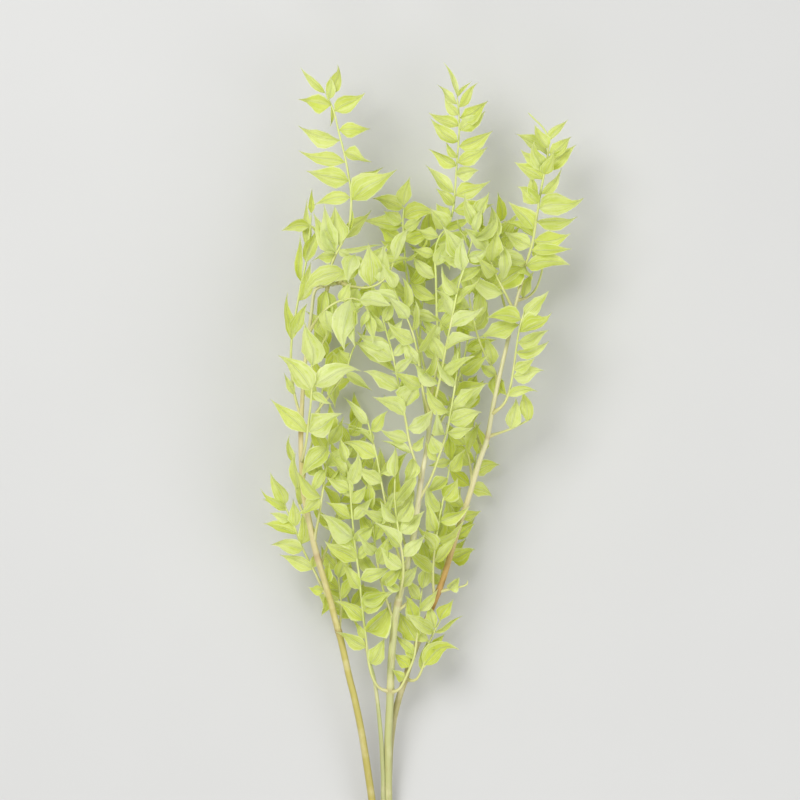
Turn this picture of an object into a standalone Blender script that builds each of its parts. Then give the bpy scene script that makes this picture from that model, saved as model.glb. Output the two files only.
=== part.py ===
"""A dried ruscus stem, lying down: straw-coloured canes that part from one cut end,
and lime leafy sprays that grow from them, with alternate leaves in two ranks.

Metres, +Z up. The cut end is at low Y, the tips are at high Y, and the stem lies on Z = 0.
A place is first given as (column, row, depth): a pixel column and row of the photograph,
and a depth towards the viewer in the same unit, from the middle of the bunch.
"""

import math
import random

import bpy
import numpy as np
from mathutils.bvhtree import BVHTree

# Size: the real length, and the photograph rows that it spans
STEM_LENGTH = 0.758
CUT_ROW = 904
TOP_ROW = 62
CUT_COLUMN = 388
FLOOR_DEPTH = -75
PIXEL = STEM_LENGTH / (CUT_ROW - TOP_ROW)

# Leaf blades
LEAF_LENGTH = 0.0345
LEAF_SPACING = 0.0100
LEAF_WIDTH = 0.37  # share of its length, less for a longer leaf and more for a shorter one
RIB_THICKNESS = 0.0010
LEAF_FOLD = 0.34  # rise of the margins over the rib, as a share of the half width
STATIONS = ((0.28, 1.00), (0.62, 0.70))  # share of the length, share of the width
ROOT_SINK = 0.0004  # how far a leaf's root passes the middle of its stalk

# Stalks of the sprays
STALK_RADIUS = 0.0013
STALK_TIP_RADIUS = 0.00075
STALK_ROOT_RADIUS = 0.0006
STALK_SIDES = 4
STALK_RINGS = (0.034, 26)  # a ring for each such length, and one for each such turn in degrees
FINE_STEP = 0.001

CLEARANCE = 0.0003  # between separate pieces
LEAF_CLEARANCE = 0.0004
CANE_SIDES = 8
CANE_RINGS = (0.060, 14)

UP = np.array([0.0, 0.0, 1.0])

# Turns of a leaf towards the viewer, and rolls about its rib, in degrees, tried in this order
TILTS = (0, 14, -14, 28, -28, 42, -42, 58, -58, 72)
ROLLS = (0, 30, -30, 60)

STRAW = (0.62, 0.50, 0.22)
LIME = (0.63, 0.72, 0.20)

# Each cane: where it runs, and its radius at even stops from its foot to its end
CANES = {
    "main": {
        "route": [
            (388, 904, -74), (388, 885, -74), (388, 862, -74), (388, 830, -67), (388, 800, -60),
            (388, 745, -48), (390, 700, -38), (391, 665, -30), (393, 640, -23), (395, 620, -17),
            (398, 603, -12), (404, 577, -5), (409, 557, 0), (413, 540, 4), (418, 505, 10),
            (421, 480, 14), (425, 458, 16), (428, 438, 17), (430, 415, 17), (431, 397, 16),
        ],
        "radius": (0.0045, 0.0040, 0.0035, 0.0028, 0.0017),
    },
    "left": {
        "route": [
            (387, 884, -72), (377.5, 848, -64), (371.5, 800, -54), (362.5, 740, -44), (354.5, 700, -36),
            (349.5, 680, -32), (340.5, 640, -24), (335, 620, -19), (330, 600, -14), (324, 580, -9),
            (318, 560, -5), (313, 540, -1), (309, 520, 3), (304, 495, 8), (302, 470, 11),
            (301, 440, 14), (302, 410, 15), (304, 375, 16), (308, 340, 17), (312, 310, 17),
            (314, 294, 17), (318, 288, 17), (326, 286, 17), (341, 283, 17),
        ],
        "radius": (0.0034, 0.0034, 0.0032, 0.0027, 0.0019, 0.0014),
    },
    "second": {
        "route": [
            (386, 850, -68), (384, 825, -62), (383, 800, -56), (383, 780, -52), (382, 760, -48),
            (381, 740, -45), (379, 718, -42), (377, 700, -40), (374, 680, -38), (370, 665, -37),
        ],
        "radius": (0.0023, 0.0021, 0.0016),
    },
    "right": {
        "route": [
            (388, 800, -62), (389, 770, -60), (390, 750, -57), (393, 725, -54), (398, 703, -50),
            (405, 681, -45), (411, 662, -41), (422, 633, -35), (435, 601, -28), (443, 580, -23),
            (449, 560, -18), (455, 540, -13), (461, 520, -9), (468, 500, -5), (474, 480, -2),
            (480, 460, 0), (487, 440, 1), (491, 418, 1), (495, 397, 1), (501, 370, 0),
            (508, 340, -2), (514, 312, -4), (521, 285, -6),
        ],
        "radius": (0.0032, 0.0031, 0.0029, 0.0025, 0.0020, 0.0016),
    },
}


def spray(cane, start, route, face=0, leaf=1.0, splay=56, span=(0.1, 1.0), wild=0.0, tips=()):
    """What one spray needs: its cane, the column and row where it leaves it, or None to go on
    from the cane's end, its further route, the turn of its two ranks about the stalk from flat to
    the viewer, its leaves' length against the usual one, the angle of its lowest leaves from the
    stalk, the stretch of stalk that bears leaves by the rule, and how much these twist and curl.
    The leaves at `tips` reach from the stalk at their third number, a row, or up to 1 a share of
    the stalk, to their column and row; a fourth number is their width against the usual one, and
    a fifth how far they bend in their own plane, to the right seen from the stalk, as a share of
    their length."""
    return {
        "cane": cane, "start": start, "route": route, "face": face, "leaf": leaf,
        "splay": splay, "span": span, "wild": wild, "tips": tips,
    }


SPRAYS = {
    "main_tip_spray": spray(
        "main", None,
        [(439, 351, 15), (437, 320, 14), (436, 280, 13), (435, 255, 13), (439, 238, 13),
         (448, 226, 12), (453, 210, 12), (455, 190, 12), (457, 160, 11), (459, 135, 9), (459, 115, 8),
         (457, 97, 7)],
        face=10, leaf=1.1, span=(0.14, 0.5), wild=0.5,
        tips=[(443, 62, 97, 0.4, 0.08), (494, 204, 211, 1.1), (435, 188, 207, 1.0, 0.02), (430, 209, 229, 1.4), (436, 203, 222, 1.2),
              (491, 179, 195, 1.1, 0.03), (425, 163, 192, 1.0, -0.06), (479, 171, 176, 1.3, -0.08),
              (428, 150, 168, 1.0, 0.06), (488, 148, 164, 1.1, 0.03), (446, 142, 159, 0.8),
              (493, 131, 147, 1.1, 0.05), (430, 119, 143, 1.1), (485, 111, 132, 1.2, 0.02),
              (428, 113, 127), (488, 101, 118, 1.1, 0.05), (444, 96, 115, 0.9), (478, 81, 106, 0.75, -0.03),
              (436, 83, 103, 0.8, -0.06), (472, 81, 98, 0.5, -0.1), (472, 216, 230, 1.0),
              (468, 231, 243, 1.2, 0.06), (416, 228, 238, 1.1, -0.08), (450, 271, 249, 1.1, -0.1),
              (411, 250, 256, 1.0), (416, 337, 358, 1.2), (420, 317, 338, 1.2), (459, 291, 311, 1.2)],
    ),
    "left_tip_spray": spray(
        "left", (322, 286),
        [(328, 275, 19), (334, 259, 20), (340, 247, 20), (346, 235, 19), (350, 222, 17),
         (351, 192, 12), (345, 157, 10), (339, 133, 8), (334, 112, 7), (326, 94, 6)],
        span=(0.1, 0.1),
        tips=[(397, 171, 202, 1.3, 0.04), (384, 166, 190, 0.9, -0.08), (313, 207, 199, 0.9, 0.08),
              (305, 169, 179, 1.2, -0.02), (298, 151, 163, 0.9, -0.045), (372, 162, 152, 1.0, 0.12),
              (297, 125, 140, 1.1), (371, 129, 131, 1.15, -0.02), (296, 97, 104, 1.4, 0.06),
              (365, 92, 111, 1.3, -0.02), (329, 75, 99, 0.9), (328, 125, 102, 0.35), (337, 63, 97, 0.9, 0.02), (300, 67, 94, 0.6, -0.02),
              (335, 206, 246, 1.7), (325, 204, 252, 1.1), (314, 212, 255, 1.2), (350, 207, 238, 0.9),
              (371, 210, 242, 1.1, -0.02), (386, 245, 249, 0.35), (308, 223, 258, 1.2, 0.05), (313, 261, 253, 1.1, 0.12),
              (353, 257, 250, 0.8)],
    ),
    "right_tip_spray": spray(
        "right", None,
        [(524, 270, -4), (529, 255, -2), (533, 240, 0), (537, 215, 3), (541, 190, 5),
         (545, 170, 6), (548, 152, 7), (548, 138, 8), (543, 128, 8), (536, 121, 8), (528, 113, 8)],
        span=(0.1, 0.1),
        tips=[(508, 200, 229, 1.2, 0.04), (584, 198, 209, 1.35, 0.07), (578, 216, 222, 1.4, -0.05), (571, 233, 240, 1.35),
              (572, 250, 251), (571, 265, 265, 1.3, -0.03), (484, 286, 268, 1.4), (488, 254, 263, 1.2),
              (541, 288, 266, 1.2), (503, 232, 248, 1.3), (501, 219, 236, 1.3, 0.06), 
              (517, 187, 205, 1.4, 0.12), (562, 168, 196, 0.8), (514, 162, 180, 1.4, 0.04),
              (576, 145, 170, 1.1), (520, 150, 167, 1.3, -0.05), (571, 137, 154, 1.2),
              (515, 134, 157, 1.5, 0.02), (534, 126, 150, 1.1), (568, 120, 142, 0.7, -0.05),
              (534, 141, 172, 1.2), (529, 175, 198, 1.1), (553, 150, 176, 1.0)],
    ),
    "second_tip_spray": spray(
        "second", None,
        [(366, 650, -42), (357, 628, -50), (349, 604, -56), (342, 578, -59)],
        span=(0.42, 1.0),
    ),
    "main_spray_1": spray(
        "main", (390, 693),
        [(381, 690, -31), (376, 685, -28), (372, 677, -26), (369, 665, -24), (367, 650, -21),
         (365, 632, -17), (362, 605, -8), (359, 575, 2), (355, 545, 10), (352, 515, 16),
         (350, 488, 20), (346, 462, 24)],
        leaf=1.1, splay=50, span=(0.8, 1.0),
        tips=[(335, 633, 649, 1.2, 0.04), (352, 622, 641, 0.6), (385, 637, 663, 1.2, 0.1),
              (391, 602, 632, 1.9), (334, 600, 620, 1.1, 0.08), (394, 592, 611, 1.5, -0.04),
              (391, 590, 600, 1.2), (341, 563, 590), (392, 567, 580, 1.1), (324, 540, 562, 1.1),
              (377, 541, 559, 1.1), (323, 526, 550, 1.2, 0.04), (320, 513, 538, 1.2), (374, 523, 541, 1.1),
              (325, 501, 519, 1.4), (374, 497, 520), (367, 484, 503), (326, 476, 490, 1.1),
              (343, 448, 478, 0.8)],
    ),
    "main_spray_2": spray(
        "main", (390, 693),
        [(396, 692, -31), (401, 688, -31), (405, 680, -32), (410, 669, -33), (414, 659, -31),
         (416, 646, -28), (418, 628, -24), (420, 608, -22), (422, 590, -20)],
        span=(0.6, 1.0),
        tips=[(392, 670, 680, 1.15, -0.08), (394, 654, 668, 1.1), (404, 637, 661, 0.8), (399, 612, 642, 1.8), (396, 633, 654, 0.9)],
    ),
    "main_spray_3": spray(
        "main", (394, 624),
        [(388, 605, -12), (382, 585, -4), (377, 560, 2), (374, 535, 6), (372, 510, 8)],
        leaf=1.1, face=15, wild=0.3,
    ),
    "main_spray_4": spray(
        "main", (397, 611),
        [(404, 606, -14), (412, 598, -22), (420, 586, -28), (427, 570, -30), (432, 550, -30), (435, 530, -28)],
        leaf=1.1, face=20, span=(0.42, 1.0), wild=0.3,
    ),
    "main_spray_5": spray(
        "main", (399, 600),
        [(403, 578, 12), (403, 560, 20), (400, 540, 25), (397, 520, 28), (395, 500, 29),
         (395, 478, 28)],
        leaf=1.1, span=(0.9, 1.0),
        tips=[(418, 566, 590), (383, 579, 591), (393, 555, 582, 0.8), (425, 533, 557, 1.2),
              (380, 545, 567, 1.1), (425, 510, 531, 1.2), (373, 521, 547, 1.2), (413, 495, 521),
              (416, 470, 502, 1.3), (380, 500, 522)],
    ),
    "main_spray_6": spray(
        "main", (404, 577),
        [(396, 545, 8), (388, 515, 14), (382, 485, 17), (377, 458, 18), (371, 434, 18),
         (366, 414, 18)],
        span=(0.1, 0.4),
        tips=[(341, 443, 457, 1.2, 0.1), (358, 464, 484, 1.2), (408, 452, 473, 1.3), (345, 429, 445, 1.1),
              (388, 410, 431, 1.1), (341, 422, 436, 0.8), (343, 396, 424, 0.85)],
    ),
    "main_spray_7": spray(
        "main", (421, 480),
        [(414, 458, 24), (409, 440, 28), (406, 422, 30), (402, 402, 30), (398, 381, 30),
         (393, 356, 30), (387, 334, 30), (382, 316, 30)],
        span=(0.1, 0.1),
        tips=[(433, 409, 428, 1.3, 0.14), (381, 440, 452, 0.8), (380, 428, 441), (425, 434, 447, 1.1),
              (403, 484, 458, 1.4), (372, 396, 416, 1.1, 0.1), (384, 394, 409, 0.9), (419, 381, 408, 1.7), (363, 371, 388, 1.1, 0.08),
              (407, 372, 391), (352, 343, 363, 1.2), (414, 356, 374), (356, 330, 346, 0.9), (408, 338, 358, 0.9),
              (403, 318, 340, 0.8), (364, 306, 330), (392, 298, 322, 0.9)],
    ),
    "main_spray_8": spray(
        "main", (430, 415),
        [(424, 396, 23), (420, 372, 27), (417, 350, 29), (411, 328, 30), (402, 308, 30),
         (394, 290, 30)],
        wild=0.5, leaf=1.05,
    ),
    "main_spray_9": spray(
        "main", (430, 403),
        [(426, 376, -6), (418, 338, -14), (411, 302, -18), (406, 270, -18), (404, 240, -16),
         (403, 222, -14), (404, 206, -12)],
        leaf=1.15, span=(0.5, 0.84), wild=0.6,
        tips=[(410, 176, 206, 1.1, -0.06), (372, 198, 208, 1.2, 0.03), (437, 211, 216, 1.4, -0.16),
              (384, 209, 219, 1.2), (362, 220, 226, 1.1), (378, 228, 240, 1.3), (423, 216, 228, 1.0), (434, 237, 242, 1.2, -0.1), (380, 240, 252, 1.1)],
    ),
    "main_spray_10": spray(
        "main", (429, 420),
        [(437, 392, 26), (445, 352, 31), (452, 318, 33), (458, 288, 33), (466, 262, 32),
         (472, 240, 30), (478, 218, 28)],
        leaf=1.15, wild=0.6,
        tips=[(483, 207, 232, 0.8), (442, 226, 257, 1.2, -0.04), (439, 256, 268, 1.0), (487, 248, 258, 1.0)],
    ),
    "main_spray_11": spray(
        "main", (427, 445),
        [(437, 428, -4), (450, 405, -10), (459, 378, -12), (466, 350, -12), (471, 322, -12),
         (477, 296, -12)],
        face=20, leaf=1.15, wild=0.7,
    ),
    "main_spray_12": spray(
        "main", (419, 500),
        [(430, 480, 16), (439, 456, 24), (447, 430, 28), (452, 404, 30), (456, 376, 31),
         (458, 350, 31)],
        leaf=1.15, face=-15, span=(0.35, 0.9), wild=0.6,
        tips=[(474, 427, 433, 1.0, 0.05), (482, 411, 420, 1.3, -0.05), (478, 387, 406), (457, 344, 380, 0.9),
              (431, 434, 452, 1.3), (425, 442, 462, 0.9)],
    ),
    "main_spray_13": spray(
        "main", (409, 557),
        [(402, 536, -30), (393, 514, -50), (383, 490, -60), (374, 470, -62)],
        face=10, leaf=1.1, span=(0.3, 1.0),
    ),
    "main_spray_14": spray(
        "main", (429, 430),
        [(424, 400, -16), (420, 360, -34), (421, 320, -46), (424, 290, -50), (427, 262, -51), (428, 240, -51)],
        leaf=1.15, span=(0.6, 1.0), wild=0.5,
    ),
    "left_spray_1": spray(
        "left", (332, 608),
        [(323, 590, -16), (315, 573, -14), (306, 556, -12), (300, 543, -11), (294, 526, -9),
         (288, 513, -8), (284, 504, -8)],
        span=(0.1, 0.1),
        tips=[(270, 472, 506, 1.1), (262, 499, 510, 1.0, 0.06), (263, 525, 536, 1.0, 0.04),
              (271, 546, 551, 1.1, 0.06), (278, 554, 569, 1.0, 0.06), (321, 617, 600, 1.2),
              (308, 587, 592, 1.2), (329, 560, 583), (316, 539, 568, 1.1), (303, 511, 546, 1.2),
              (293, 500, 528), (269, 513, 519, 0.9), (260, 487, 508, 0.5)],
    ),
    "left_spray_2": spray(
        "left", (339, 632), [(341, 610, -30), (339, 586, -34), (336, 560, -34)], face=20,
    ),
    "left_spray_3": spray(
        "left", (314, 542),
        [(319, 516, 12), (323, 490, 16), (327, 462, 15), (329, 436, 12)],
        leaf=1.25, face=-15, span=(0.3, 1.0),
        tips=[(302, 476, 446, 1.4), (296, 512, 498, 1.2), (306, 493, 469, 1.0)],
    ),
    "left_spray_4": spray(
        "left", (310, 525), [(300, 506, -4), (295, 482, -6), (294, 462, -7)],
        span=(0.1, 0.1), tips=[(296, 451, 490, 0.8), (301, 474, 508, 0.8), (290, 434, 464, 0.6)],
    ),
    "left_spray_5": spray(
        "left", (301, 462),
        [(306, 444, 30), (309, 422, 38), (312, 392, 41), (312, 365, 42), (311, 345, 41)],
        leaf=1.25, span=(0.1, 0.1),
        tips=[(271, 398, 433, 1.2, 0.04), (343, 412, 430, 1.6), (278, 355, 391, 1.3, 0.06),
              (362, 371, 385, 1.2, -0.09), (305, 322, 368, 1.3, 0.05), (333, 404, 393, 0.8)],
    ),
    "left_spray_6": spray(
        "left", (301, 420),
        [(294, 392, 2), (291, 362, 0), (292, 336, -2), (296, 312, -3), (300, 290, -4),
         (305, 268, -5), (308, 248, -6), (310, 230, -6), (311, 214, -6)],
        face=80, splay=24, span=(0.1, 0.1),
        tips=[(288, 292, 342, 0.65), (308, 303, 334, 1.0), (311, 262, 302, 0.9, 0.05), (284, 372, 396, 0.6),
              (300, 234, 283, 0.5), (318, 222, 264, 0.9), (281, 230, 227, 1.2, 0.14),
              (307, 198, 250, 0.6, -0.03), (312, 188, 214, 0.5)],
    ),
    "left_spray_7": spray(
        "left", (303, 388),
        [(314, 362, -2), (325, 338, -8), (336, 315, -12), (349, 298, -14), (363, 292, -14), (375, 296, -12),
         (383, 307, -9)],
        leaf=1.25, span=(0.3, 1.0), wild=0.5,
    ),
    "left_spray_8": spray(
        "left", (308, 332),
        [(317, 320, 28), (328, 308, 36), (341, 301, 40), (354, 299, 42), (364, 304, 42), (370, 314, 40)],
        leaf=1.3, face=-20, span=(0.1, 0.1),
        tips=[(333, 334, 0.35, 1.2, 0.1), (345, 352, 0.7, 1.7, 0.06), (355, 348, 0.85, 1.6, 0.04),
              (352, 283, 0.55, 1.2), (362, 332, 0.95, 0.8), (373, 344, 1, 1.0), (392, 306, 0.8, 1.5)],
    ),
    "left_spray_9": spray(
        "left", (338, 284), [(344, 277, 22), (350, 266, 24), (356, 254, 25)],
        leaf=1.15, span=(0.1, 0.1),
        tips=[(303, 301, 272, 1.3, 0.2), (334, 282, 258, 1.3), (349, 284, 255, 1.3), (366, 268, 256, 0.9)],
    ),
    "left_spray_10": spray(
        "left", (341, 283),
        [(354, 287, 22), (367, 288, 27), (379, 284, 31), (388, 275, 33), (394, 262, 33)],
        leaf=1.25, face=10, span=(0.62, 1.0), wild=0.7,
        tips=[(368, 243, 0.45, 1.5), (383, 245, 0.6, 1.2, 0.05), (353, 320, 0.25, 1.2), (378, 323, 0.5, 1.4),
              (396, 305, 0.65, 1.3)],
    ),
    "left_spray_11": spray(
        "left", (332, 285), [(344, 275, 0), (358, 268, -4), (374, 262, -6), (390, 254, -8)],
        leaf=1.15, span=(0.45, 1.0), wild=0.5,
    ),
    "left_spray_12": spray(
        "left", (302, 478),
        [(311, 446, -22), (319, 410, -42), (324, 376, -53), (327, 348, -57)],
        face=15, leaf=1.2, span=(0.55, 1.0), wild=0.5,
    ),
    "left_spray_13": spray(
        "left", (320, 566),
        [(331, 536, -34), (340, 500, -52), (346, 460, -60), (350, 425, -62)],
        face=-10, leaf=1.1, span=(0.2, 1.0),
    ),
    "left_spray_14": spray(
        "left", (301, 432),
        [(308, 425, 10), (318, 410, 7), (332, 392, 6), (345, 372, 6), (352, 352, 8), (357, 342, 10)],
        leaf=1.1, face=-25, span=(0.1, 0.1),
        tips=[(372, 391, 373, 0.9), (331, 352, 378, 1.2), (338, 345, 362, 1.2), (400, 374, 343, 1.1, -0.06),
              (368, 322, 345, 0.5), (334, 410, 385, 0.9)],
    ),
    "left_spray_15": spray(
        "left", (328, 286), [(327, 293, 13), (325, 299, 10)],
        span=(0.1, 0.1),
        tips=[(316, 330, 0.1, 0.9), (325, 343, 1, 0.8), (332, 331, 0.9, 0.7), (341, 317, 0.4, 1.0, -0.1)],
    ),
    "right_spray_1": spray(
        "right", (405, 680),
        [(412, 682, -38), (417, 680, -36), (421, 673, -34), (424, 664, -32), (427, 650, -29),
         (433, 635, -26), (441, 620, -24)],
        leaf=1.1, span=(0.1, 0.1),
        tips=[(460, 650, 667, 1.2, -0.25), (406, 612, 642), (406, 612, 631, 1.2), (427, 641, 672, 0.9),
              (465, 615, 632, 0.55, -0.05), (430, 600, 628), (454, 599, 622, 1.2, -0.04), (446, 634, 650, 1.0)],
    ),
    "right_spray_2": spray(
        "right", (439, 592), [(453, 589, -22), (462, 587, -22), (467, 585, -22), (468, 581, -22)],
        leaf=0.6, span=(0.1, 0.1), tips=[(457, 578, 0.2, 1.3)],
    ),
    "right_spray_3": spray(
        "right", (424, 629),
        [(438, 594, -44), (448, 566, -50), (457, 538, -52), (465, 508, -52), (472, 480, -50),
         (477, 454, -47)],
        span=(0.1, 0.1),
        tips=[(424, 572, 585), (476, 549, 558, 1.3, -0.05), (476, 524, 536, 1.0, -0.04),
              (434, 518, 534), (482, 511, 521, 1.1, -0.06), (440, 490, 508), (493, 498, 488, 1.2, -0.1),
              (446, 466, 486), (501, 464, 471, 1.4, -0.08), (452, 436, 462), (476, 421, 455, 1.3, 0.06)],
    ),
    "right_spray_4": spray(
        "right", (435, 601),
        [(433, 576, -14), (435, 547, -8), (440, 516, -4), (446, 486, -2), (451, 460, -2)],
        leaf=1.15, face=-10, span=(0.1, 0.62), wild=0.3,
        tips=[(458, 478, 500, 1.4), (428, 466, 455, 0.9), (425, 492, 476, 1.1), (466, 448, 470), (448, 434, 461, 0.9)],
    ),
    "right_spray_5": spray(
        "right", (493, 414),
        [(503, 405, 6), (509, 392, 8), (513, 372, 10), (516, 350, 12), (519, 330, 13), (524, 312, 13)],
        leaf=1.15, span=(0.1, 0.1),
        tips=[(538, 391, 396, 0.9, -0.18), (544, 370, 376, 1.3, -0.02), (549, 341, 353, 1.0),
              (549, 331, 343, 1.2), (552, 312, 332, 1.4, 0.08), (549, 290, 316, 1.3, 0.03), (486, 317, 319, 1.3, 0.05),
              (478, 336, 323, 1.5, 0.02), (535, 357, 370, 1.2)],
    ),
    "right_spray_6": spray(
        "right", (488, 437), [(508, 430, -8), (521, 424, -10), (531, 419, -10)],
        leaf=1.0, span=(0.1, 0.1), tips=[(516, 397, 429, 1.2, 0.03), (523, 389, 421, 1.3, 0.12)],
    ),
    "right_spray_7": spray(
        "right", (473, 484), [(470, 464, -18), (465, 440, -18), (462, 414, -18)],
        face=25, leaf=1.1, wild=0.4,
    ),
    "right_spray_8": spray(
        "right", (498, 384), [(495, 372, -14), (487, 358, -8), (479, 340, -2), (473, 318, 0), (469, 296, 0)],
        leaf=1.2, face=-20, span=(0.5, 1.0), wild=0.6,
        tips=[(493, 402, 374, 1.2), (508, 398, 380, 1.0, 0.04), (484, 334, 366, 1.0), (470, 350, 350, 1.0),
              (461, 368, 352, 0.9), (479, 363, 376, 0.9)],
    ),
    "right_spray_9": spray(
        "right", (511, 326), [(505, 306, -22), (501, 288, -30), (501, 265, -32), (501, 240, -31), (500, 222, -30)],
        leaf=1.25, span=(0.3, 0.86), wild=0.6, tips=[(498, 191, 222, 0.9, 0.1)],
    ),
    "right_spray_10": spray(
        "right", (514, 312), [(505, 293, 8), (495, 273, 17), (487, 252, 22), (483, 230, 23)],
        leaf=1.3, face=-10, wild=0.7,
    ),
    "right_spray_11": spray(
        "right", (517, 300), [(528, 297, -22), (536, 289, -26), (541, 276, -28), (545, 258, -28)],
        span=(0.6, 1.0), tips=[(533, 271, 0.15, 0.9)],
    ),
    "right_spray_12": spray(
        "right", (483, 452), [(474, 428, -38), (466, 398, -54), (461, 368, -62), (460, 340, -64)],
        face=-10, leaf=1.15, span=(0.3, 0.7), wild=0.4,
    ),
    "right_spray_13": spray(
        "right", (420, 640), [(430, 612, -52), (440, 582, -59), (449, 548, -62), (456, 515, -62)],
        span=(0.45, 1.0),
    ),
}


def in_metres(places):
    """World points for (column, row, depth) places."""
    column, row, depth = np.array(places, float).reshape(-1, 3).T
    return PIXEL * np.column_stack([column - CUT_COLUMN, CUT_ROW - row, depth - FLOOR_DEPTH])


def unit(vectors):
    """Vectors of length one along the given ones."""
    return vectors / np.linalg.norm(vectors, axis=-1, keepdims=True)


def evenly(path, step):
    """The same path with points about `step` apart, at even spacing."""
    travel = np.concatenate([[0], np.cumsum(np.linalg.norm(np.diff(path, axis=0), axis=1))])
    even = np.linspace(0, travel[-1], max(2, round(travel[-1] / step)) + 1)
    return np.column_stack([np.interp(even, travel, path[:, axis]) for axis in range(3)])


def smooth_path(points):
    """A fine Catmull-Rom curve through the points of a route."""
    ends = np.vstack([2 * points[0] - points[1], points, 2 * points[-1] - points[-2]])
    share = np.linspace(0, 1, 16, endpoint=False)[:, None]
    spans = [
        b + 0.5 * share * (c - a + share * (2 * a - 5 * b + 4 * c - d + share * (3 * b - 3 * c + d - a)))
        for a, b, c, d in zip(ends, ends[1:], ends[2:], ends[3:])
    ]
    return evenly(np.vstack(spans + [points[-1:]]), FINE_STEP)


def directions(path):
    """The unit direction of travel at each point of a path."""
    return unit(np.gradient(path, axis=0))


def ringed(fine, rings):
    """A few points of a fine path to put a tube's rings at, closer where it bends, and for each
    point of the fine path the one beside it on the straight lines between those."""
    length, turn = rings
    ahead = unit(np.diff(fine, axis=0))
    bends = np.degrees(np.arccos(np.clip((ahead[1:] * ahead[:-1]).sum(axis=1), -1, 1)))
    measure = np.concatenate([[0], np.cumsum(FINE_STEP / length + np.append(bends, 0) / turn)])
    even = np.linspace(0, measure[-1], math.ceil(measure[-1]) + 1)
    few = np.column_stack([np.interp(even, measure, fine[:, axis]) for axis in range(3)])
    beside = np.column_stack([np.interp(measure, even, few[:, axis]) for axis in range(3)])
    return few, beside


def tube(path, radii, sides):
    """Points and faces of a closed tube with flat sides, one of them facing straight down."""
    ahead = directions(path)
    across = unit(np.cross(ahead, UP))
    above = np.cross(across, ahead)
    angles = (np.arange(sides) + 0.5) * 2 * math.pi / sides - math.pi / 2
    spokes = np.cos(angles)[:, None] * across[:, None] + np.sin(angles)[:, None] * above[:, None]
    points = (path[:, None] + radii[:, None, None] * spokes).reshape(-1, 3)
    faces = [tuple(range(sides))[::-1], tuple(len(points) - sides + k for k in range(sides))]
    for ring in range(0, len(points) - sides, sides):
        for k in range(sides):
            low, high = ring + k, ring + (k + 1) % sides
            faces.append((low, high, high + sides, low + sides))
    return points, [face[::-1] for face in faces]


def blade(leaf, grow=0.0):
    """Points of one leaf: thin, closed, its rib bowed and bent, with its margins raised, and wider
    and thicker by `grow` all round where only its clearance is tested."""
    ahead, facing, length = leaf["ahead"], leaf["facing"], leaf["length"]
    across = np.cross(ahead, facing)
    curve = leaf["bow"] * facing + leaf["bend"] * across
    points = [leaf["root"] - (ROOT_SINK + grow) * ahead]
    for along, wide in STATIONS:
        centre = leaf["root"] + length * (along * ahead + 4 * along * (1 - along) * curve)
        outward = unit(facing - 4 * leaf["bow"] * (1 - 2 * along) * ahead)
        turn = leaf["twist"] * along
        side = math.cos(turn) * across + math.sin(turn) * outward
        outward = math.cos(turn) * outward - math.sin(turn) * across
        half = wide * leaf["width"] / 2 + grow
        rise = LEAF_FOLD * wide * leaf["width"] / 2 * outward
        thick = (RIB_THICKNESS / 2 + grow) * outward
        points += [centre - half * side + rise, centre + thick, centre + half * side + rise, centre - thick]
    return np.array(points + [leaf["root"] + (length + grow) * ahead])


def blade_faces():
    """Triangles of every leaf: fans at its root and tip, and split alike on both faces between."""
    faces = []
    last = 1 + 4 * len(STATIONS)
    for k in range(4):
        after = (k + 1) % 4
        faces.append((0, 1 + k, 1 + after))
        faces.append((last, last - 4 + after, last - 4 + k))
        for ring in range(1, last - 4, 4):
            low, high = ring + k, ring + after
            if k % 2 == 0:
                faces += [(low, low + 4, high + 4), (low, high + 4, high)]
            else:
                faces += [(low, low + 4, high), (high, low + 4, high + 4)]
    return [face[::-1] for face in faces]


BLADE_FACES = blade_faces()


def cane_tube(cane):
    """The tube of one cane, laid on the floor where it would pass through it."""
    path = ringed(smooth_path(in_metres(cane["route"])), CANE_RINGS)[0]
    travel = np.cumsum(np.linalg.norm(np.diff(path, axis=0, prepend=path[:1]), axis=1))
    radii = np.interp(travel / travel[-1], np.linspace(0, 1, len(cane["radius"])), cane["radius"])
    path[:, 2] = np.maximum(path[:, 2], radii * math.cos(math.pi / CANE_SIDES))
    return path, radii, *tube(path, radii, CANE_SIDES)


def stalk_path(details, canes):
    """A spray's fine path, from just outside its cane to its tip, and its few rings."""
    path, radii = canes[details["cane"]][:2]
    cane = evenly(path, FINE_STEP)
    if details["start"] is None:
        start, gap = cane[-1], CLEARANCE
    else:
        column, row = details["start"]
        wanted = in_metres([(column, row, 0)])[0, :2]
        nearest = np.argmin(np.linalg.norm(cane[:, :2] - wanted, axis=1))
        start = cane[nearest]
        cane_radius = np.interp(nearest / len(cane), np.linspace(0, 1, len(radii)), radii)
        gap = cane_radius + STALK_ROOT_RADIUS + CLEARANCE
    stalk = smooth_path(np.vstack([start, in_metres(details["route"])]))
    apart = np.linalg.norm(stalk[:, None] - cane[None], axis=2).min(axis=1)
    fine = evenly(stalk[np.argmax(apart > gap) :], FINE_STEP)
    fine[:, 2] = np.maximum(fine[:, 2], STALK_RADIUS + CLEARANCE)
    few, beside = ringed(fine, STALK_RINGS)
    return {"ahead": directions(fine), "roots": beside, "rings": few}


def stalk_tube(details, path):
    """The tube of one spray's stalk, thin where it leaves the cane."""
    radii = np.linspace(STALK_RADIUS, STALK_TIP_RADIUS, len(path["rings"]))
    if details["start"] is not None:
        radii[0] = STALK_ROOT_RADIUS
    return tube(path["rings"], radii, STALK_SIDES)


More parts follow.
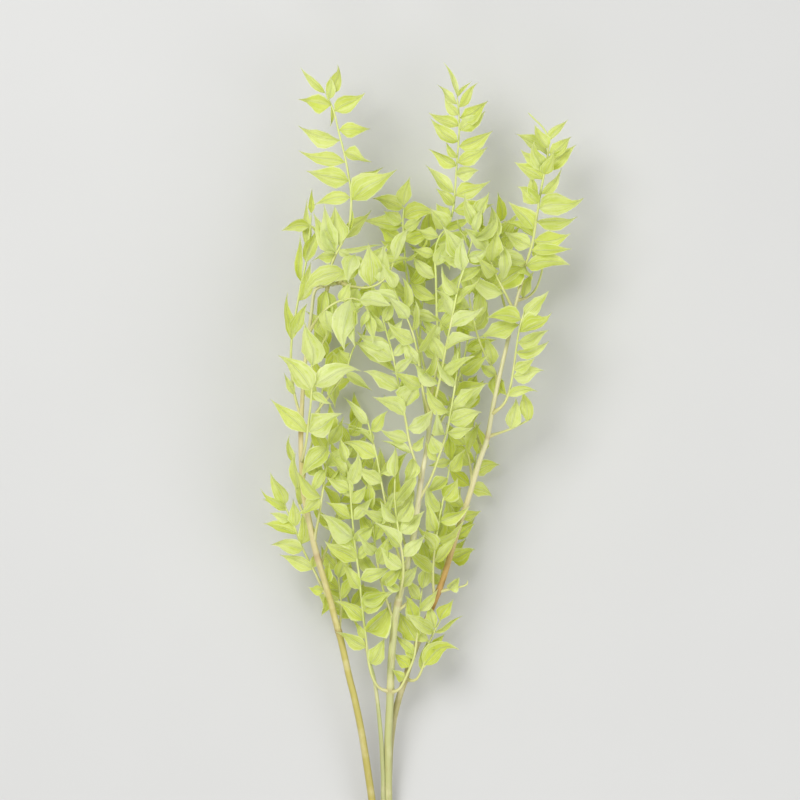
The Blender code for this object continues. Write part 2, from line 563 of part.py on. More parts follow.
def leaf_at(root, ahead, facing, length, travel, wild, dice):
    """One leaf with its own small differences. It bends a little to the foot of its stalk."""
    facing = unit(facing - facing.dot(ahead) * ahead)
    footward = -1 if np.cross(ahead, facing).dot(travel) > 0 else 1
    return {
        "root": root, "ahead": ahead, "facing": facing, "length": length, "reaches": False,
        "width": math.sqrt(length * LEAF_LENGTH) * LEAF_WIDTH * dice.uniform(0.88, 1.12),
        "bow": dice.uniform(-0.02, 0.13) + wild * dice.uniform(-0.12, 0.2),
        "bend": footward * dice.uniform(-0.02, 0.1) + wild * dice.uniform(-0.14, 0.14),
        "twist": math.radians(dice.uniform(-28, 28) * (1 + wild)),
    }


def ruled_leaves(details, path, dice):
    """Leaves by the rule alone: alternate, in two ranks, shorter and closer to the stalk towards
    its tip, the last one at its end."""
    low, high = details["span"]
    wild = details["wild"]
    travel, roots = path["ahead"], path["roots"]
    count = round(len(roots) * FINE_STEP * (high - low) / LEAF_SPACING)
    leaves = []
    for index in range(count):
        share = low + (high - low) * (index + 1) / count
        at = min(int(share * len(roots)), len(roots) - 1)
        level = unit(UP - travel[at].dot(UP) * travel[at])
        sideways = np.cross(travel[at], level)
        face = math.radians(details["face"] + dice.uniform(-16, 16) * (1 + 1.5 * wild))
        rank = math.cos(face) * sideways + math.sin(face) * level
        facing = math.cos(face) * level - math.sin(face) * sideways
        side = 1 if index % 2 else -1
        at_end = share > 0.999
        splay = details["splay"] * (1 - 0.5 * share) + dice.uniform(-9, 9) * (1 + 2 * wild)
        splay = 0 if at_end else splay
        splay = math.radians(splay)
        ahead = unit(math.cos(splay) * travel[at] + math.sin(splay) * side * rank
                     + dice.uniform(-0.22, 0.22) * (1 + wild) * facing)
        facing = facing + dice.uniform(-0.45, 0.45) * (1 + 2 * wild) * np.cross(ahead, facing)
        size = details["leaf"] * (1 - 0.22 * share) * dice.uniform(0.86, 1.08)
        leaves.append(leaf_at(roots[at], ahead, facing, LEAF_LENGTH * size, travel[at], wild, dice))
    return leaves


def reaching_leaves(details, path, dice):
    """Leaves whose tips reach the places listed for them, from the listed rows of the stalk."""
    leaves = []
    for column, row, root_row, *shape in details["tips"]:
        wanted = in_metres([(column, root_row, 0)])[0, 1]
        at = np.argmin(np.abs(path["roots"][:, 1] - wanted))
        if root_row <= 1:
            at = int(root_row * (len(path["roots"]) - 1))
        root = path["roots"][at]
        reach = in_metres([(column, row, 0)])[0] - root
        reach[2] = 0
        ahead = unit(reach)
        facing = UP + dice.uniform(-0.5, 0.5) * np.cross(ahead, UP)
        leaf = leaf_at(root, ahead, facing, np.linalg.norm(reach), path["ahead"][at], 0, dice)
        leaf["reaches"] = True
        leaf["width"] *= shape[0] if shape else 1
        leaf["bend"] = shape[1] if len(shape) > 1 else leaf["bend"]
        leaves.append(leaf)
    return leaves


def turned(leaf, tilt, roll):
    """The leaf turned towards the viewer by `tilt` degrees, then rolled about its rib. One that
    has a place to reach grows by as much as the turn foreshortens it, up to a third."""
    tilt, roll = math.radians(tilt), math.radians(roll)
    longer = min(1 / math.cos(tilt), 1.33) if leaf["reaches"] else 1
    ahead = unit(math.cos(tilt) * leaf["ahead"] + math.sin(tilt) * UP)
    facing = unit(leaf["facing"] - leaf["facing"].dot(ahead) * ahead)
    facing = math.cos(roll) * facing + math.sin(roll) * np.cross(ahead, facing)
    return {**leaf, "ahead": ahead, "facing": facing, "length": longer * leaf["length"]}


def surface(points, faces):
    """A surface that others are tested against, with its lowest and highest corners."""
    return BVHTree.FromPolygons(points.tolist(), faces), points.min(axis=0), points.max(axis=0)


def meets(one, other):
    """Whether two surfaces cross, boxes first."""
    apart = (one[1] > other[2]).any() or (other[1] > one[2]).any()
    return not apart and bool(one[0].overlap(other[0]))


def place_clear(leaf, placed):
    """The points of the leaf in the first of its turns that clears the floor and everything
    placed so far, or else of a shorter leaf, or nothing."""
    for size in (1.0, 0.8, 0.62):
        for tilt in TILTS:
            for roll in ROLLS:
                tried = turned({**leaf, "length": size * leaf["length"], "width": size * leaf["width"]},
                               tilt, roll)
                grown = surface(blade(tried, LEAF_CLEARANCE), BLADE_FACES)
                if grown[1][2] > 0 and not any(meets(grown, other) for other in placed):
                    return blade(tried)
    return None


def grow_sprays(canes):
    """Stalk and leaf surfaces of every spray, each leaf clear of all that came before it."""
    paths = {name: stalk_path(details, canes) for name, details in SPRAYS.items()}
    stalks = {name: stalk_tube(SPRAYS[name], path) for name, path in paths.items()}
    fixed = {name: surface(*stalk) for name, stalk in stalks.items()}
    cane_surfaces = [surface(*cane[2:]) for cane in canes.values()]
    placed = []
    grown = {}
    for seed, (name, details) in enumerate(SPRAYS.items()):
        dice = random.Random(seed)
        around = cane_surfaces + [other for key, other in fixed.items() if key != name]
        leaves = []
        for leaf in reaching_leaves(details, paths[name], dice) + ruled_leaves(details, paths[name], dice):
            points = place_clear(leaf, around + placed)
            if points is not None:
                leaves.append(points)
                placed.append(surface(points, BLADE_FACES))
        grown[name] = (stalks[name], leaves)
    return grown


def material(name, colour, roughness):
    """A plain finish."""
    made = bpy.data.materials.new(name)
    made.use_nodes = True
    shader = made.node_tree.nodes["Principled BSDF"]
    shader.inputs["Base Color"].default_value = (*colour, 1)
    shader.inputs["Roughness"].default_value = roughness
    return made


def new_object(name, points, faces, finish):
    """An object in the scene, with its mesh in place."""
    mesh = bpy.data.meshes.new(name)
    mesh.from_pydata(points.tolist(), [], faces)
    mesh.materials.append(finish)
    made = bpy.data.objects.new(name, mesh)
    bpy.context.scene.collection.objects.link(made)
    return made


def joined(base, pieces):
    """The base object, fused with all the pieces, which are then removed."""
    group = bpy.data.collections.new(base.name + "_pieces")
    bpy.context.scene.collection.children.link(group)
    for piece in pieces:
        bpy.context.scene.collection.objects.unlink(piece)
        group.objects.link(piece)
    union = base.modifiers.new("Join", "BOOLEAN")
    union.operation = "UNION"
    union.operand_type = "COLLECTION"
    union.collection = group
    union.solver = "MANIFOLD"
    graph = bpy.context.evaluated_depsgraph_get()
    whole = bpy.data.meshes.new_from_object(base.evaluated_get(graph))
    base.modifiers.clear()
    base.data = whole
    for piece in pieces:
        bpy.data.objects.remove(piece)
    bpy.data.collections.remove(group)
    return base


def stand_on_origin(objects):
    """Moves everything together, so that the origin is under the middle of the whole stem."""
    corners = np.array([vertex.co for made in objects for vertex in made.data.vertices])
    low, high = corners.min(axis=0), corners.max(axis=0)
    for made in objects:
        made.location = (-(low[0] + high[0]) / 2, -(low[1] + high[1]) / 2, -low[2])


def main():
    for made in list(bpy.data.objects):
        bpy.data.objects.remove(made)
    straw = material("DryStraw", STRAW, 0.55)
    lime = material("LimeLeaf", LIME, 0.6)
    canes = {name: cane_tube(cane) for name, cane in CANES.items()}
    tubes = [new_object(name + "_cane", *cane[2:], straw) for name, cane in canes.items()]
    stem = joined(tubes[0], tubes[1:])
    stem.name = "branched_cane"
    objects = [stem]
    for name, (stalk, leaves) in grow_sprays(canes).items():
        made = new_object(name, *stalk, lime)
        blades = [new_object(name + "_leaf", points, BLADE_FACES, lime) for points in leaves]
        objects.append(joined(made, blades) if blades else made)
    stand_on_origin(objects)


main()
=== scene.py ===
# Dresses the dried ruscus stem: bleached straw canes and lime leafy sprays, laid on a pale floor.
# A place is first a column and row of the photograph, and a depth towards the viewer in the same unit.
import math
import random

import bpy
import numpy as np
from mathutils.bvhtree import BVHTree
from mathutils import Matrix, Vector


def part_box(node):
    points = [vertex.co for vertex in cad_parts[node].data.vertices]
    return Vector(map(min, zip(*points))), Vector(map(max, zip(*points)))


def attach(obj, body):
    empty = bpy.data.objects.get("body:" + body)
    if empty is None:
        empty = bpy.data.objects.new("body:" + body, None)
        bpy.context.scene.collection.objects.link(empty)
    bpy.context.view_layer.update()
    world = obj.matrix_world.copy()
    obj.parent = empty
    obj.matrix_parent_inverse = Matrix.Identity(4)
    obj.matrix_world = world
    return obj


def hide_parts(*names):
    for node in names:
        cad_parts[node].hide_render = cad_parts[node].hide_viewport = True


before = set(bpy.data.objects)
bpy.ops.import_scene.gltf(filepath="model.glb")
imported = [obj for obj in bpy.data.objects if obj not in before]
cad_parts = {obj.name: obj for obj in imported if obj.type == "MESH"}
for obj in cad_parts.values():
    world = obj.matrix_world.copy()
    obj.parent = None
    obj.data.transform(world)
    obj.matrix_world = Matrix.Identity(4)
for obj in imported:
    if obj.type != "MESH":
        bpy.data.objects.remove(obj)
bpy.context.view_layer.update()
print("frame loaded,", len(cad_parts), "nodes")

# the layout of the solids, which the dressed pieces follow
layout = {
    "stemLength": 0.758,  # metres, from the cut end to the highest leaf tip
    "cutRow": 904, "topRow": 62, "cutColumn": 388, "floorDepth": -75,
    "fineStep": 0.001, "curveSteps": 16, "clearance": 0.0003,
    "caneSides": 8, "caneRings": (0.060, 14),  # a ring for each length in metres and each turn in degrees
    "stalkRadius": 0.0013, "stalkTipRadius": 0.00075, "stalkRootRadius": 0.0006,
    "stalkSides": 4, "stalkRings": (0.034, 26),
}
pixel = layout["stemLength"] / (layout["cutRow"] - layout["topRow"])
up = np.array([0.0, 0.0, 1.0])

canes = {
    "main": {
        "route": [(388, 904, -74), (388, 885, -74), (388, 862, -74), (388, 830, -67), (388, 800, -60),
        (388, 745, -48), (390, 700, -38), (391, 665, -30), (393, 640, -23), (395, 620, -17), (398, 603, -12),
        (404, 577, -5), (409, 557, 0), (413, 540, 4), (418, 505, 10), (421, 480, 14), (425, 458, 16),
        (428, 438, 17), (430, 415, 17), (431, 397, 16)],
        "radius": (0.0045, 0.0040, 0.0035, 0.0028, 0.0017)},
    "left": {
        "route": [(387, 884, -72), (377.5, 848, -64), (371.5, 800, -54), (362.5, 740, -44), (354.5, 700, -36),
        (349.5, 680, -32), (340.5, 640, -24), (335, 620, -19), (330, 600, -14), (324, 580, -9),
        (318, 560, -5), (313, 540, -1), (309, 520, 3), (304, 495, 8), (302, 470, 11), (301, 440, 14),
        (302, 410, 15), (304, 375, 16), (308, 340, 17), (312, 310, 17), (314, 294, 17), (318, 288, 17),
        (326, 286, 17), (341, 283, 17)],
        "radius": (0.0034, 0.0034, 0.0032, 0.0027, 0.0019, 0.0014)},
    "second": {
        "route": [(386, 850, -68), (384, 825, -62), (383, 800, -56), (383, 780, -52), (382, 760, -48),
        (381, 740, -45), (379, 718, -42), (377, 700, -40), (374, 680, -38), (370, 665, -37)],
        "radius": (0.0023, 0.0021, 0.0016)},
    "right": {
        "route": [(388, 800, -62), (389, 770, -60), (390, 750, -57), (393, 725, -54), (398, 703, -50),
        (405, 681, -45), (411, 662, -41), (422, 633, -35), (435, 601, -28), (443, 580, -23), (449, 560, -18),
        (455, 540, -13), (461, 520, -9), (468, 500, -5), (474, 480, -2), (480, 460, 0), (487, 440, 1),
        (491, 418, 1), (495, 397, 1), (501, 370, 0), (508, 340, -2), (514, 312, -4), (521, 285, -6)],
        "radius": (0.0032, 0.0031, 0.0029, 0.0025, 0.0020, 0.0016)},
}

sprays = {}
listedOnly = (0.1, 0.1)  # a leafy stretch of no length: the spray has only its listed leaves


def spray(cane, start, route, tip=False, face=0, leaf=1.0, splay=56, span=(0.1, 1.0), wild=0.0, tips=()):
    # a spray of its cane, numbered up the list unless it is the tip: place where it leaves the cane
    # (None: at the cane's end), route, turn of its ranks to the viewer, leaf size, angle of its lowest
    # leaves, leafy stretch, how much its leaves twist, and leaf tips: column, row, row of the root on
    # the stalk or up to 1 its share of the stalk, and then a width factor and a sideways bend
    number = sum(name.startswith(cane + "_spray") for name in sprays) + 1
    sprays[cane + ("_tip_spray" if tip else f"_spray_{number}")] = {
        "cane": cane, "start": start, "route": route, "face": face, "leaf": leaf, "splay": splay,
        "span": span, "wild": wild, "tips": tips}


spray("main", None, [(439, 351, 15), (437, 320, 14), (436, 280, 13), (435, 255, 13), (439, 238, 13),
    (448, 226, 12), (453, 210, 12), (455, 190, 12), (457, 160, 11), (459, 135, 9), (459, 115, 8),
    (457, 97, 7)], tip=True, face=10, leaf=1.1, span=(0.14, 0.5), wild=0.5,
    tips=[(443, 62, 97, 0.4, 0.08), (494, 204, 211, 1.1), (435, 188, 207, 1.0, 0.02), (430, 209, 229, 1.4),
    (436, 203, 222, 1.2), (491, 179, 195, 1.1, 0.03), (425, 163, 192, 1.0, -0.06),
    (479, 171, 176, 1.3, -0.08), (428, 150, 168, 1.0, 0.06), (488, 148, 164, 1.1, 0.03),
    (446, 142, 159, 0.8), (493, 131, 147, 1.1, 0.05), (430, 119, 143, 1.1), (485, 111, 132, 1.2, 0.02),
    (428, 113, 127), (488, 101, 118, 1.1, 0.05), (444, 96, 115, 0.9), (478, 81, 106, 0.75, -0.03),
    (436, 83, 103, 0.8, -0.06), (472, 81, 98, 0.5, -0.1), (472, 216, 230), (468, 231, 243, 1.2, 0.06),
    (416, 228, 238, 1.1, -0.08), (450, 271, 249, 1.1, -0.1), (411, 250, 256), (416, 337, 358, 1.2),
    (420, 317, 338, 1.2), (459, 291, 311, 1.2)])
spray("left", (322, 286), [(328, 275, 19), (334, 259, 20), (340, 247, 20), (346, 235, 19), (350, 222, 17),
    (351, 192, 12), (345, 157, 10), (339, 133, 8), (334, 112, 7), (326, 94, 6)], tip=True, span=listedOnly,
    tips=[(397, 171, 202, 1.3, 0.04), (384, 166, 190, 0.9, -0.08), (313, 207, 199, 0.9, 0.08),
    (305, 169, 179, 1.2, -0.02), (298, 151, 163, 0.9, -0.045), (372, 162, 152, 1.0, 0.12),
    (297, 125, 140, 1.1), (371, 129, 131, 1.15, -0.02), (296, 97, 104, 1.4, 0.06),
    (365, 92, 111, 1.3, -0.02), (329, 75, 99, 0.9), (328, 125, 102, 0.35), (337, 63, 97, 0.9, 0.02),
    (300, 67, 94, 0.6, -0.02), (335, 206, 246, 1.7), (325, 204, 252, 1.1), (314, 212, 255, 1.2),
    (350, 207, 238, 0.9), (371, 210, 242, 1.1, -0.02), (386, 245, 249, 0.35), (308, 223, 258, 1.2, 0.05),
    (313, 261, 253, 1.1, 0.12), (353, 257, 250, 0.8)])
spray("right", None, [(524, 270, -4), (529, 255, -2), (533, 240, 0), (537, 215, 3), (541, 190, 5),
    (545, 170, 6), (548, 152, 7), (548, 138, 8), (543, 128, 8), (536, 121, 8), (528, 113, 8)], tip=True,
    span=listedOnly,
    tips=[(508, 200, 229, 1.2, 0.04), (584, 198, 209, 1.35, 0.07), (578, 216, 222, 1.4, -0.05),
    (571, 233, 240, 1.35), (572, 250, 251), (571, 265, 265, 1.3, -0.03), (484, 286, 268, 1.4),
    (488, 254, 263, 1.2), (541, 288, 266, 1.2), (503, 232, 248, 1.3), (501, 219, 236, 1.3, 0.06),
    (517, 187, 205, 1.4, 0.12), (562, 168, 196, 0.8), (514, 162, 180, 1.4, 0.04), (576, 145, 170, 1.1),
    (520, 150, 167, 1.3, -0.05), (571, 137, 154, 1.2), (515, 134, 157, 1.5, 0.02), (534, 126, 150, 1.1),
    (568, 120, 142, 0.7, -0.05), (534, 141, 172, 1.2), (529, 175, 198, 1.1), (553, 150, 176)])
spray("second", None, [(366, 650, -42), (357, 628, -50), (349, 604, -56), (342, 578, -59)], tip=True,
    span=(0.42, 1.0))
spray("main", (390, 693), [(381, 690, -31), (376, 685, -28), (372, 677, -26), (369, 665, -24),
    (367, 650, -21), (365, 632, -17), (362, 605, -8), (359, 575, 2), (355, 545, 10), (352, 515, 16),
    (350, 488, 20), (346, 462, 24)], leaf=1.1, splay=50, span=(0.8, 1.0),
    tips=[(335, 633, 649, 1.2, 0.04), (352, 622, 641, 0.6), (385, 637, 663, 1.2, 0.1), (391, 602, 632, 1.9),
    (334, 600, 620, 1.1, 0.08), (394, 592, 611, 1.5, -0.04), (391, 590, 600, 1.2), (341, 563, 590),
    (392, 567, 580, 1.1), (324, 540, 562, 1.1), (377, 541, 559, 1.1), (323, 526, 550, 1.2, 0.04),
    (320, 513, 538, 1.2), (374, 523, 541, 1.1), (325, 501, 519, 1.4), (374, 497, 520), (367, 484, 503),
    (326, 476, 490, 1.1), (343, 448, 478, 0.8)])
spray("main", (390, 693), [(396, 692, -31), (401, 688, -31), (405, 680, -32), (410, 669, -33),
    (414, 659, -31), (416, 646, -28), (418, 628, -24), (420, 608, -22), (422, 590, -20)], span=(0.6, 1.0),
    tips=[(392, 670, 680, 1.15, -0.08), (394, 654, 668, 1.1), (404, 637, 661, 0.8), (399, 612, 642, 1.8),
    (396, 633, 654, 0.9)])
spray("main", (394, 624), [(388, 605, -12), (382, 585, -4), (377, 560, 2), (374, 535, 6), (372, 510, 8)],
    face=15, leaf=1.1, wild=0.3)
spray("main", (397, 611), [(404, 606, -14), (412, 598, -22), (420, 586, -28), (427, 570, -30),
    (432, 550, -30), (435, 530, -28)], face=20, leaf=1.1, span=(0.42, 1.0), wild=0.3)
spray("main", (399, 600), [(403, 578, 12), (403, 560, 20), (400, 540, 25), (397, 520, 28), (395, 500, 29),
    (395, 478, 28)], leaf=1.1, span=(0.9, 1.0),
    tips=[(418, 566, 590), (383, 579, 591), (393, 555, 582, 0.8), (425, 533, 557, 1.2), (380, 545, 567, 1.1),
    (425, 510, 531, 1.2), (373, 521, 547, 1.2), (413, 495, 521), (416, 470, 502, 1.3), (380, 500, 522)])
spray("main", (404, 577), [(396, 545, 8), (388, 515, 14), (382, 485, 17), (377, 458, 18), (371, 434, 18),
    (366, 414, 18)], span=(0.1, 0.4),
    tips=[(341, 443, 457, 1.2, 0.1), (358, 464, 484, 1.2), (408, 452, 473, 1.3), (345, 429, 445, 1.1),
    (388, 410, 431, 1.1), (341, 422, 436, 0.8), (343, 396, 424, 0.85)])
spray("main", (421, 480), [(414, 458, 24), (409, 440, 28), (406, 422, 30), (402, 402, 30), (398, 381, 30),
    (393, 356, 30), (387, 334, 30), (382, 316, 30)], span=listedOnly,
    tips=[(433, 409, 428, 1.3, 0.14), (381, 440, 452, 0.8), (380, 428, 441), (425, 434, 447, 1.1),
    (403, 484, 458, 1.4), (372, 396, 416, 1.1, 0.1), (384, 394, 409, 0.9), (419, 381, 408, 1.7),
    (363, 371, 388, 1.1, 0.08), (407, 372, 391), (352, 343, 363, 1.2), (414, 356, 374), (356, 330, 346, 0.9),
    (408, 338, 358, 0.9), (403, 318, 340, 0.8), (364, 306, 330), (392, 298, 322, 0.9)])
spray("main", (430, 415), [(424, 396, 23), (420, 372, 27), (417, 350, 29), (411, 328, 30), (402, 308, 30),
    (394, 290, 30)], leaf=1.05, wild=0.5)
spray("main", (430, 403), [(426, 376, -6), (418, 338, -14), (411, 302, -18), (406, 270, -18),
    (404, 240, -16), (403, 222, -14), (404, 206, -12)], leaf=1.15, span=(0.5, 0.84), wild=0.6,
    tips=[(410, 176, 206, 1.1, -0.06), (372, 198, 208, 1.2, 0.03), (437, 211, 216, 1.4, -0.16),
    (384, 209, 219, 1.2), (362, 220, 226, 1.1), (378, 228, 240, 1.3), (423, 216, 228),
    (434, 237, 242, 1.2, -0.1), (380, 240, 252, 1.1)])
spray("main", (429, 420), [(437, 392, 26), (445, 352, 31), (452, 318, 33), (458, 288, 33), (466, 262, 32),
    (472, 240, 30), (478, 218, 28)], leaf=1.15, wild=0.6,
    tips=[(483, 207, 232, 0.8), (442, 226, 257, 1.2, -0.04), (439, 256, 268), (487, 248, 258)])
spray("main", (427, 445), [(437, 428, -4), (450, 405, -10), (459, 378, -12), (466, 350, -12),
    (471, 322, -12), (477, 296, -12)], face=20, leaf=1.15, wild=0.7)
spray("main", (419, 500), [(430, 480, 16), (439, 456, 24), (447, 430, 28), (452, 404, 30), (456, 376, 31),
    (458, 350, 31)], face=-15, leaf=1.15, span=(0.35, 0.9), wild=0.6,
    tips=[(474, 427, 433, 1.0, 0.05), (482, 411, 420, 1.3, -0.05), (478, 387, 406), (457, 344, 380, 0.9),
    (431, 434, 452, 1.3), (425, 442, 462, 0.9)])
spray("main", (409, 557), [(402, 536, -30), (393, 514, -50), (383, 490, -60), (374, 470, -62)], face=10,
    leaf=1.1, span=(0.3, 1.0))
spray("main", (429, 430), [(424, 400, -16), (420, 360, -34), (421, 320, -46), (424, 290, -50),
    (427, 262, -51), (428, 240, -51)], leaf=1.15, span=(0.6, 1.0), wild=0.5)
spray("left", (332, 608), [(323, 590, -16), (315, 573, -14), (306, 556, -12), (300, 543, -11),
    (294, 526, -9), (288, 513, -8), (284, 504, -8)], span=listedOnly,
    tips=[(270, 472, 506, 1.1), (262, 499, 510, 1.0, 0.06), (263, 525, 536, 1.0, 0.04),
    (271, 546, 551, 1.1, 0.06), (278, 554, 569, 1.0, 0.06), (321, 617, 600, 1.2), (308, 587, 592, 1.2),
    (329, 560, 583), (316, 539, 568, 1.1), (303, 511, 546, 1.2), (293, 500, 528), (269, 513, 519, 0.9),
    (260, 487, 508, 0.5)])
spray("left", (339, 632), [(341, 610, -30), (339, 586, -34), (336, 560, -34)], face=20)
spray("left", (314, 542), [(319, 516, 12), (323, 490, 16), (327, 462, 15), (329, 436, 12)], face=-15,
    leaf=1.25, span=(0.3, 1.0),
    tips=[(302, 476, 446, 1.4), (296, 512, 498, 1.2), (306, 493, 469)])
spray("left", (310, 525), [(300, 506, -4), (295, 482, -6), (294, 462, -7)], span=listedOnly,
    tips=[(296, 451, 490, 0.8), (301, 474, 508, 0.8), (290, 434, 464, 0.6)])
spray("left", (301, 462), [(306, 444, 30), (309, 422, 38), (312, 392, 41), (312, 365, 42), (311, 345, 41)],
    leaf=1.25, span=listedOnly,
    tips=[(271, 398, 433, 1.2, 0.04), (343, 412, 430, 1.6), (278, 355, 391, 1.3, 0.06),
    (362, 371, 385, 1.2, -0.09), (305, 322, 368, 1.3, 0.05), (333, 404, 393, 0.8)])
spray("left", (301, 420), [(294, 392, 2), (291, 362, 0), (292, 336, -2), (296, 312, -3), (300, 290, -4),
    (305, 268, -5), (308, 248, -6), (310, 230, -6), (311, 214, -6)], face=80, splay=24, span=listedOnly,
    tips=[(288, 292, 342, 0.65), (308, 303, 334), (311, 262, 302, 0.9, 0.05), (284, 372, 396, 0.6),
    (300, 234, 283, 0.5), (318, 222, 264, 0.9), (281, 230, 227, 1.2, 0.14), (307, 198, 250, 0.6, -0.03),
    (312, 188, 214, 0.5)])
spray("left", (303, 388), [(314, 362, -2), (325, 338, -8), (336, 315, -12), (349, 298, -14), (363, 292, -14),
    (375, 296, -12), (383, 307, -9)], leaf=1.25, span=(0.3, 1.0), wild=0.5)
spray("left", (308, 332), [(317, 320, 28), (328, 308, 36), (341, 301, 40), (354, 299, 42), (364, 304, 42),
    (370, 314, 40)], face=-20, leaf=1.3, span=listedOnly,
    tips=[(333, 334, 0.35, 1.2, 0.1), (345, 352, 0.7, 1.7, 0.06), (355, 348, 0.85, 1.6, 0.04),
    (352, 283, 0.55, 1.2), (362, 332, 0.95, 0.8), (373, 344, 1), (392, 306, 0.8, 1.5)])
spray("left", (338, 284), [(344, 277, 22), (350, 266, 24), (356, 254, 25)], leaf=1.15, span=listedOnly,
    tips=[(303, 301, 272, 1.3, 0.2), (334, 282, 258, 1.3), (349, 284, 255, 1.3), (366, 268, 256, 0.9)])
spray("left", (341, 283), [(354, 287, 22), (367, 288, 27), (379, 284, 31), (388, 275, 33), (394, 262, 33)],
    face=10, leaf=1.25, span=(0.62, 1.0), wild=0.7,
    tips=[(368, 243, 0.45, 1.5), (383, 245, 0.6, 1.2, 0.05), (353, 320, 0.25, 1.2), (378, 323, 0.5, 1.4),
    (396, 305, 0.65, 1.3)])
spray("left", (332, 285), [(344, 275, 0), (358, 268, -4), (374, 262, -6), (390, 254, -8)], leaf=1.15,
    span=(0.45, 1.0), wild=0.5)
spray("left", (302, 478), [(311, 446, -22), (319, 410, -42), (324, 376, -53), (327, 348, -57)], face=15,
    leaf=1.2, span=(0.55, 1.0), wild=0.5)
spray("left", (320, 566), [(331, 536, -34), (340, 500, -52), (346, 460, -60), (350, 425, -62)], face=-10,
    leaf=1.1, span=(0.2, 1.0))
spray("left", (301, 432), [(308, 425, 10), (318, 410, 7), (332, 392, 6), (345, 372, 6), (352, 352, 8),
    (357, 342, 10)], face=-25, leaf=1.1, span=listedOnly,
    tips=[(372, 391, 373, 0.9), (331, 352, 378, 1.2), (338, 345, 362, 1.2), (400, 374, 343, 1.1, -0.06),
    (368, 322, 345, 0.5), (334, 410, 385, 0.9)])
spray("left", (328, 286), [(327, 293, 13), (325, 299, 10)], span=listedOnly,
    tips=[(316, 330, 0.1, 0.9), (325, 343, 1, 0.8), (332, 331, 0.9, 0.7), (341, 317, 0.4, 1.0, -0.1)])
spray("right", (405, 680), [(412, 682, -38), (417, 680, -36), (421, 673, -34), (424, 664, -32),
    (427, 650, -29), (433, 635, -26), (441, 620, -24)], leaf=1.1, span=listedOnly,
    tips=[(460, 650, 667, 1.2, -0.25), (406, 612, 642), (406, 612, 631, 1.2), (427, 641, 672, 0.9),
    (465, 615, 632, 0.55, -0.05), (430, 600, 628), (454, 599, 622, 1.2, -0.04), (446, 634, 650)])
spray("right", (439, 592), [(453, 589, -22), (462, 587, -22), (467, 585, -22), (468, 581, -22)], leaf=0.6,
    span=listedOnly,
    tips=[(457, 578, 0.2, 1.3)])
spray("right", (424, 629), [(438, 594, -44), (448, 566, -50), (457, 538, -52), (465, 508, -52),
    (472, 480, -50), (477, 454, -47)], span=listedOnly,
    tips=[(424, 572, 585), (476, 549, 558, 1.3, -0.05), (476, 524, 536, 1.0, -0.04), (434, 518, 534),
    (482, 511, 521, 1.1, -0.06), (440, 490, 508), (493, 498, 488, 1.2, -0.1), (446, 466, 486),
    (501, 464, 471, 1.4, -0.08), (452, 436, 462), (476, 421, 455, 1.3, 0.06)])
spray("right", (435, 601), [(433, 576, -14), (435, 547, -8), (440, 516, -4), (446, 486, -2), (451, 460, -2)],
    face=-10, leaf=1.15, span=(0.1, 0.62), wild=0.3,
    tips=[(458, 478, 500, 1.4), (428, 466, 455, 0.9), (425, 492, 476, 1.1), (466, 448, 470),
    (448, 434, 461, 0.9)])
spray("right", (493, 414), [(503, 405, 6), (509, 392, 8), (513, 372, 10), (516, 350, 12), (519, 330, 13),
    (524, 312, 13)], leaf=1.15, span=listedOnly,
    tips=[(538, 391, 396, 0.9, -0.18), (544, 370, 376, 1.3, -0.02), (549, 341, 353), (549, 331, 343, 1.2),
    (552, 312, 332, 1.4, 0.08), (549, 290, 316, 1.3, 0.03), (486, 317, 319, 1.3, 0.05),
    (478, 336, 323, 1.5, 0.02), (535, 357, 370, 1.2)])
spray("right", (488, 437), [(508, 430, -8), (521, 424, -10), (531, 419, -10)], leaf=1.0, span=listedOnly,
    tips=[(516, 397, 429, 1.2, 0.03), (523, 389, 421, 1.3, 0.12)])
spray("right", (473, 484), [(470, 464, -18), (465, 440, -18), (462, 414, -18)], face=25, leaf=1.1, wild=0.4)
spray("right", (498, 384), [(495, 372, -14), (487, 358, -8), (479, 340, -2), (473, 318, 0), (469, 296, 0)],
    face=-20, leaf=1.2, span=(0.5, 1.0), wild=0.6,
    tips=[(493, 402, 374, 1.2), (508, 398, 380, 1.0, 0.04), (484, 334, 366), (470, 350, 350),
    (461, 368, 352, 0.9), (479, 363, 376, 0.9)])
spray("right", (511, 326), [(505, 306, -22), (501, 288, -30), (501, 265, -32), (501, 240, -31),
    (500, 222, -30)], leaf=1.25, span=(0.3, 0.86), wild=0.6,
    tips=[(498, 191, 222, 0.9, 0.1)])
spray("right", (514, 312), [(505, 293, 8), (495, 273, 17), (487, 252, 22), (483, 230, 23)], face=-10,
    leaf=1.3, wild=0.7)
spray("right", (517, 300), [(528, 297, -22), (536, 289, -26), (541, 276, -28), (545, 258, -28)],
    span=(0.6, 1.0),
    tips=[(533, 271, 0.15, 0.9)])
spray("right", (483, 452), [(474, 428, -38), (466, 398, -54), (461, 368, -62), (460, 340, -64)], face=-10,
    leaf=1.15, span=(0.3, 0.7), wild=0.4)
spray("right", (420, 640), [(430, 612, -52), (440, 582, -59), (449, 548, -62), (456, 515, -62)],
    span=(0.45, 1.0))


# paths and tubes
def inMetres(places):
    # column, row and depth, times the size of a pixel, from the cut end on the floor
    column, row, depth = np.array(places, float).reshape(-1, 3).T
    places = [column - layout["cutColumn"], layout["cutRow"] - row, depth - layout["floorDepth"]]
    return pixel * np.column_stack(places)


def unit(vectors):
    # vectors over their lengths
    return vectors / np.linalg.norm(vectors, axis=-1, keepdims=True)


def travelled(path):
    # sum of the steps up to each point
    return np.concatenate([[0], np.cumsum(np.linalg.norm(np.diff(path, axis=0), axis=1))])


def spread(shares, values):
    # values spread evenly from 0 to 1, read off at the shares
    return np.interp(shares, np.linspace(0, 1, len(values)), values)


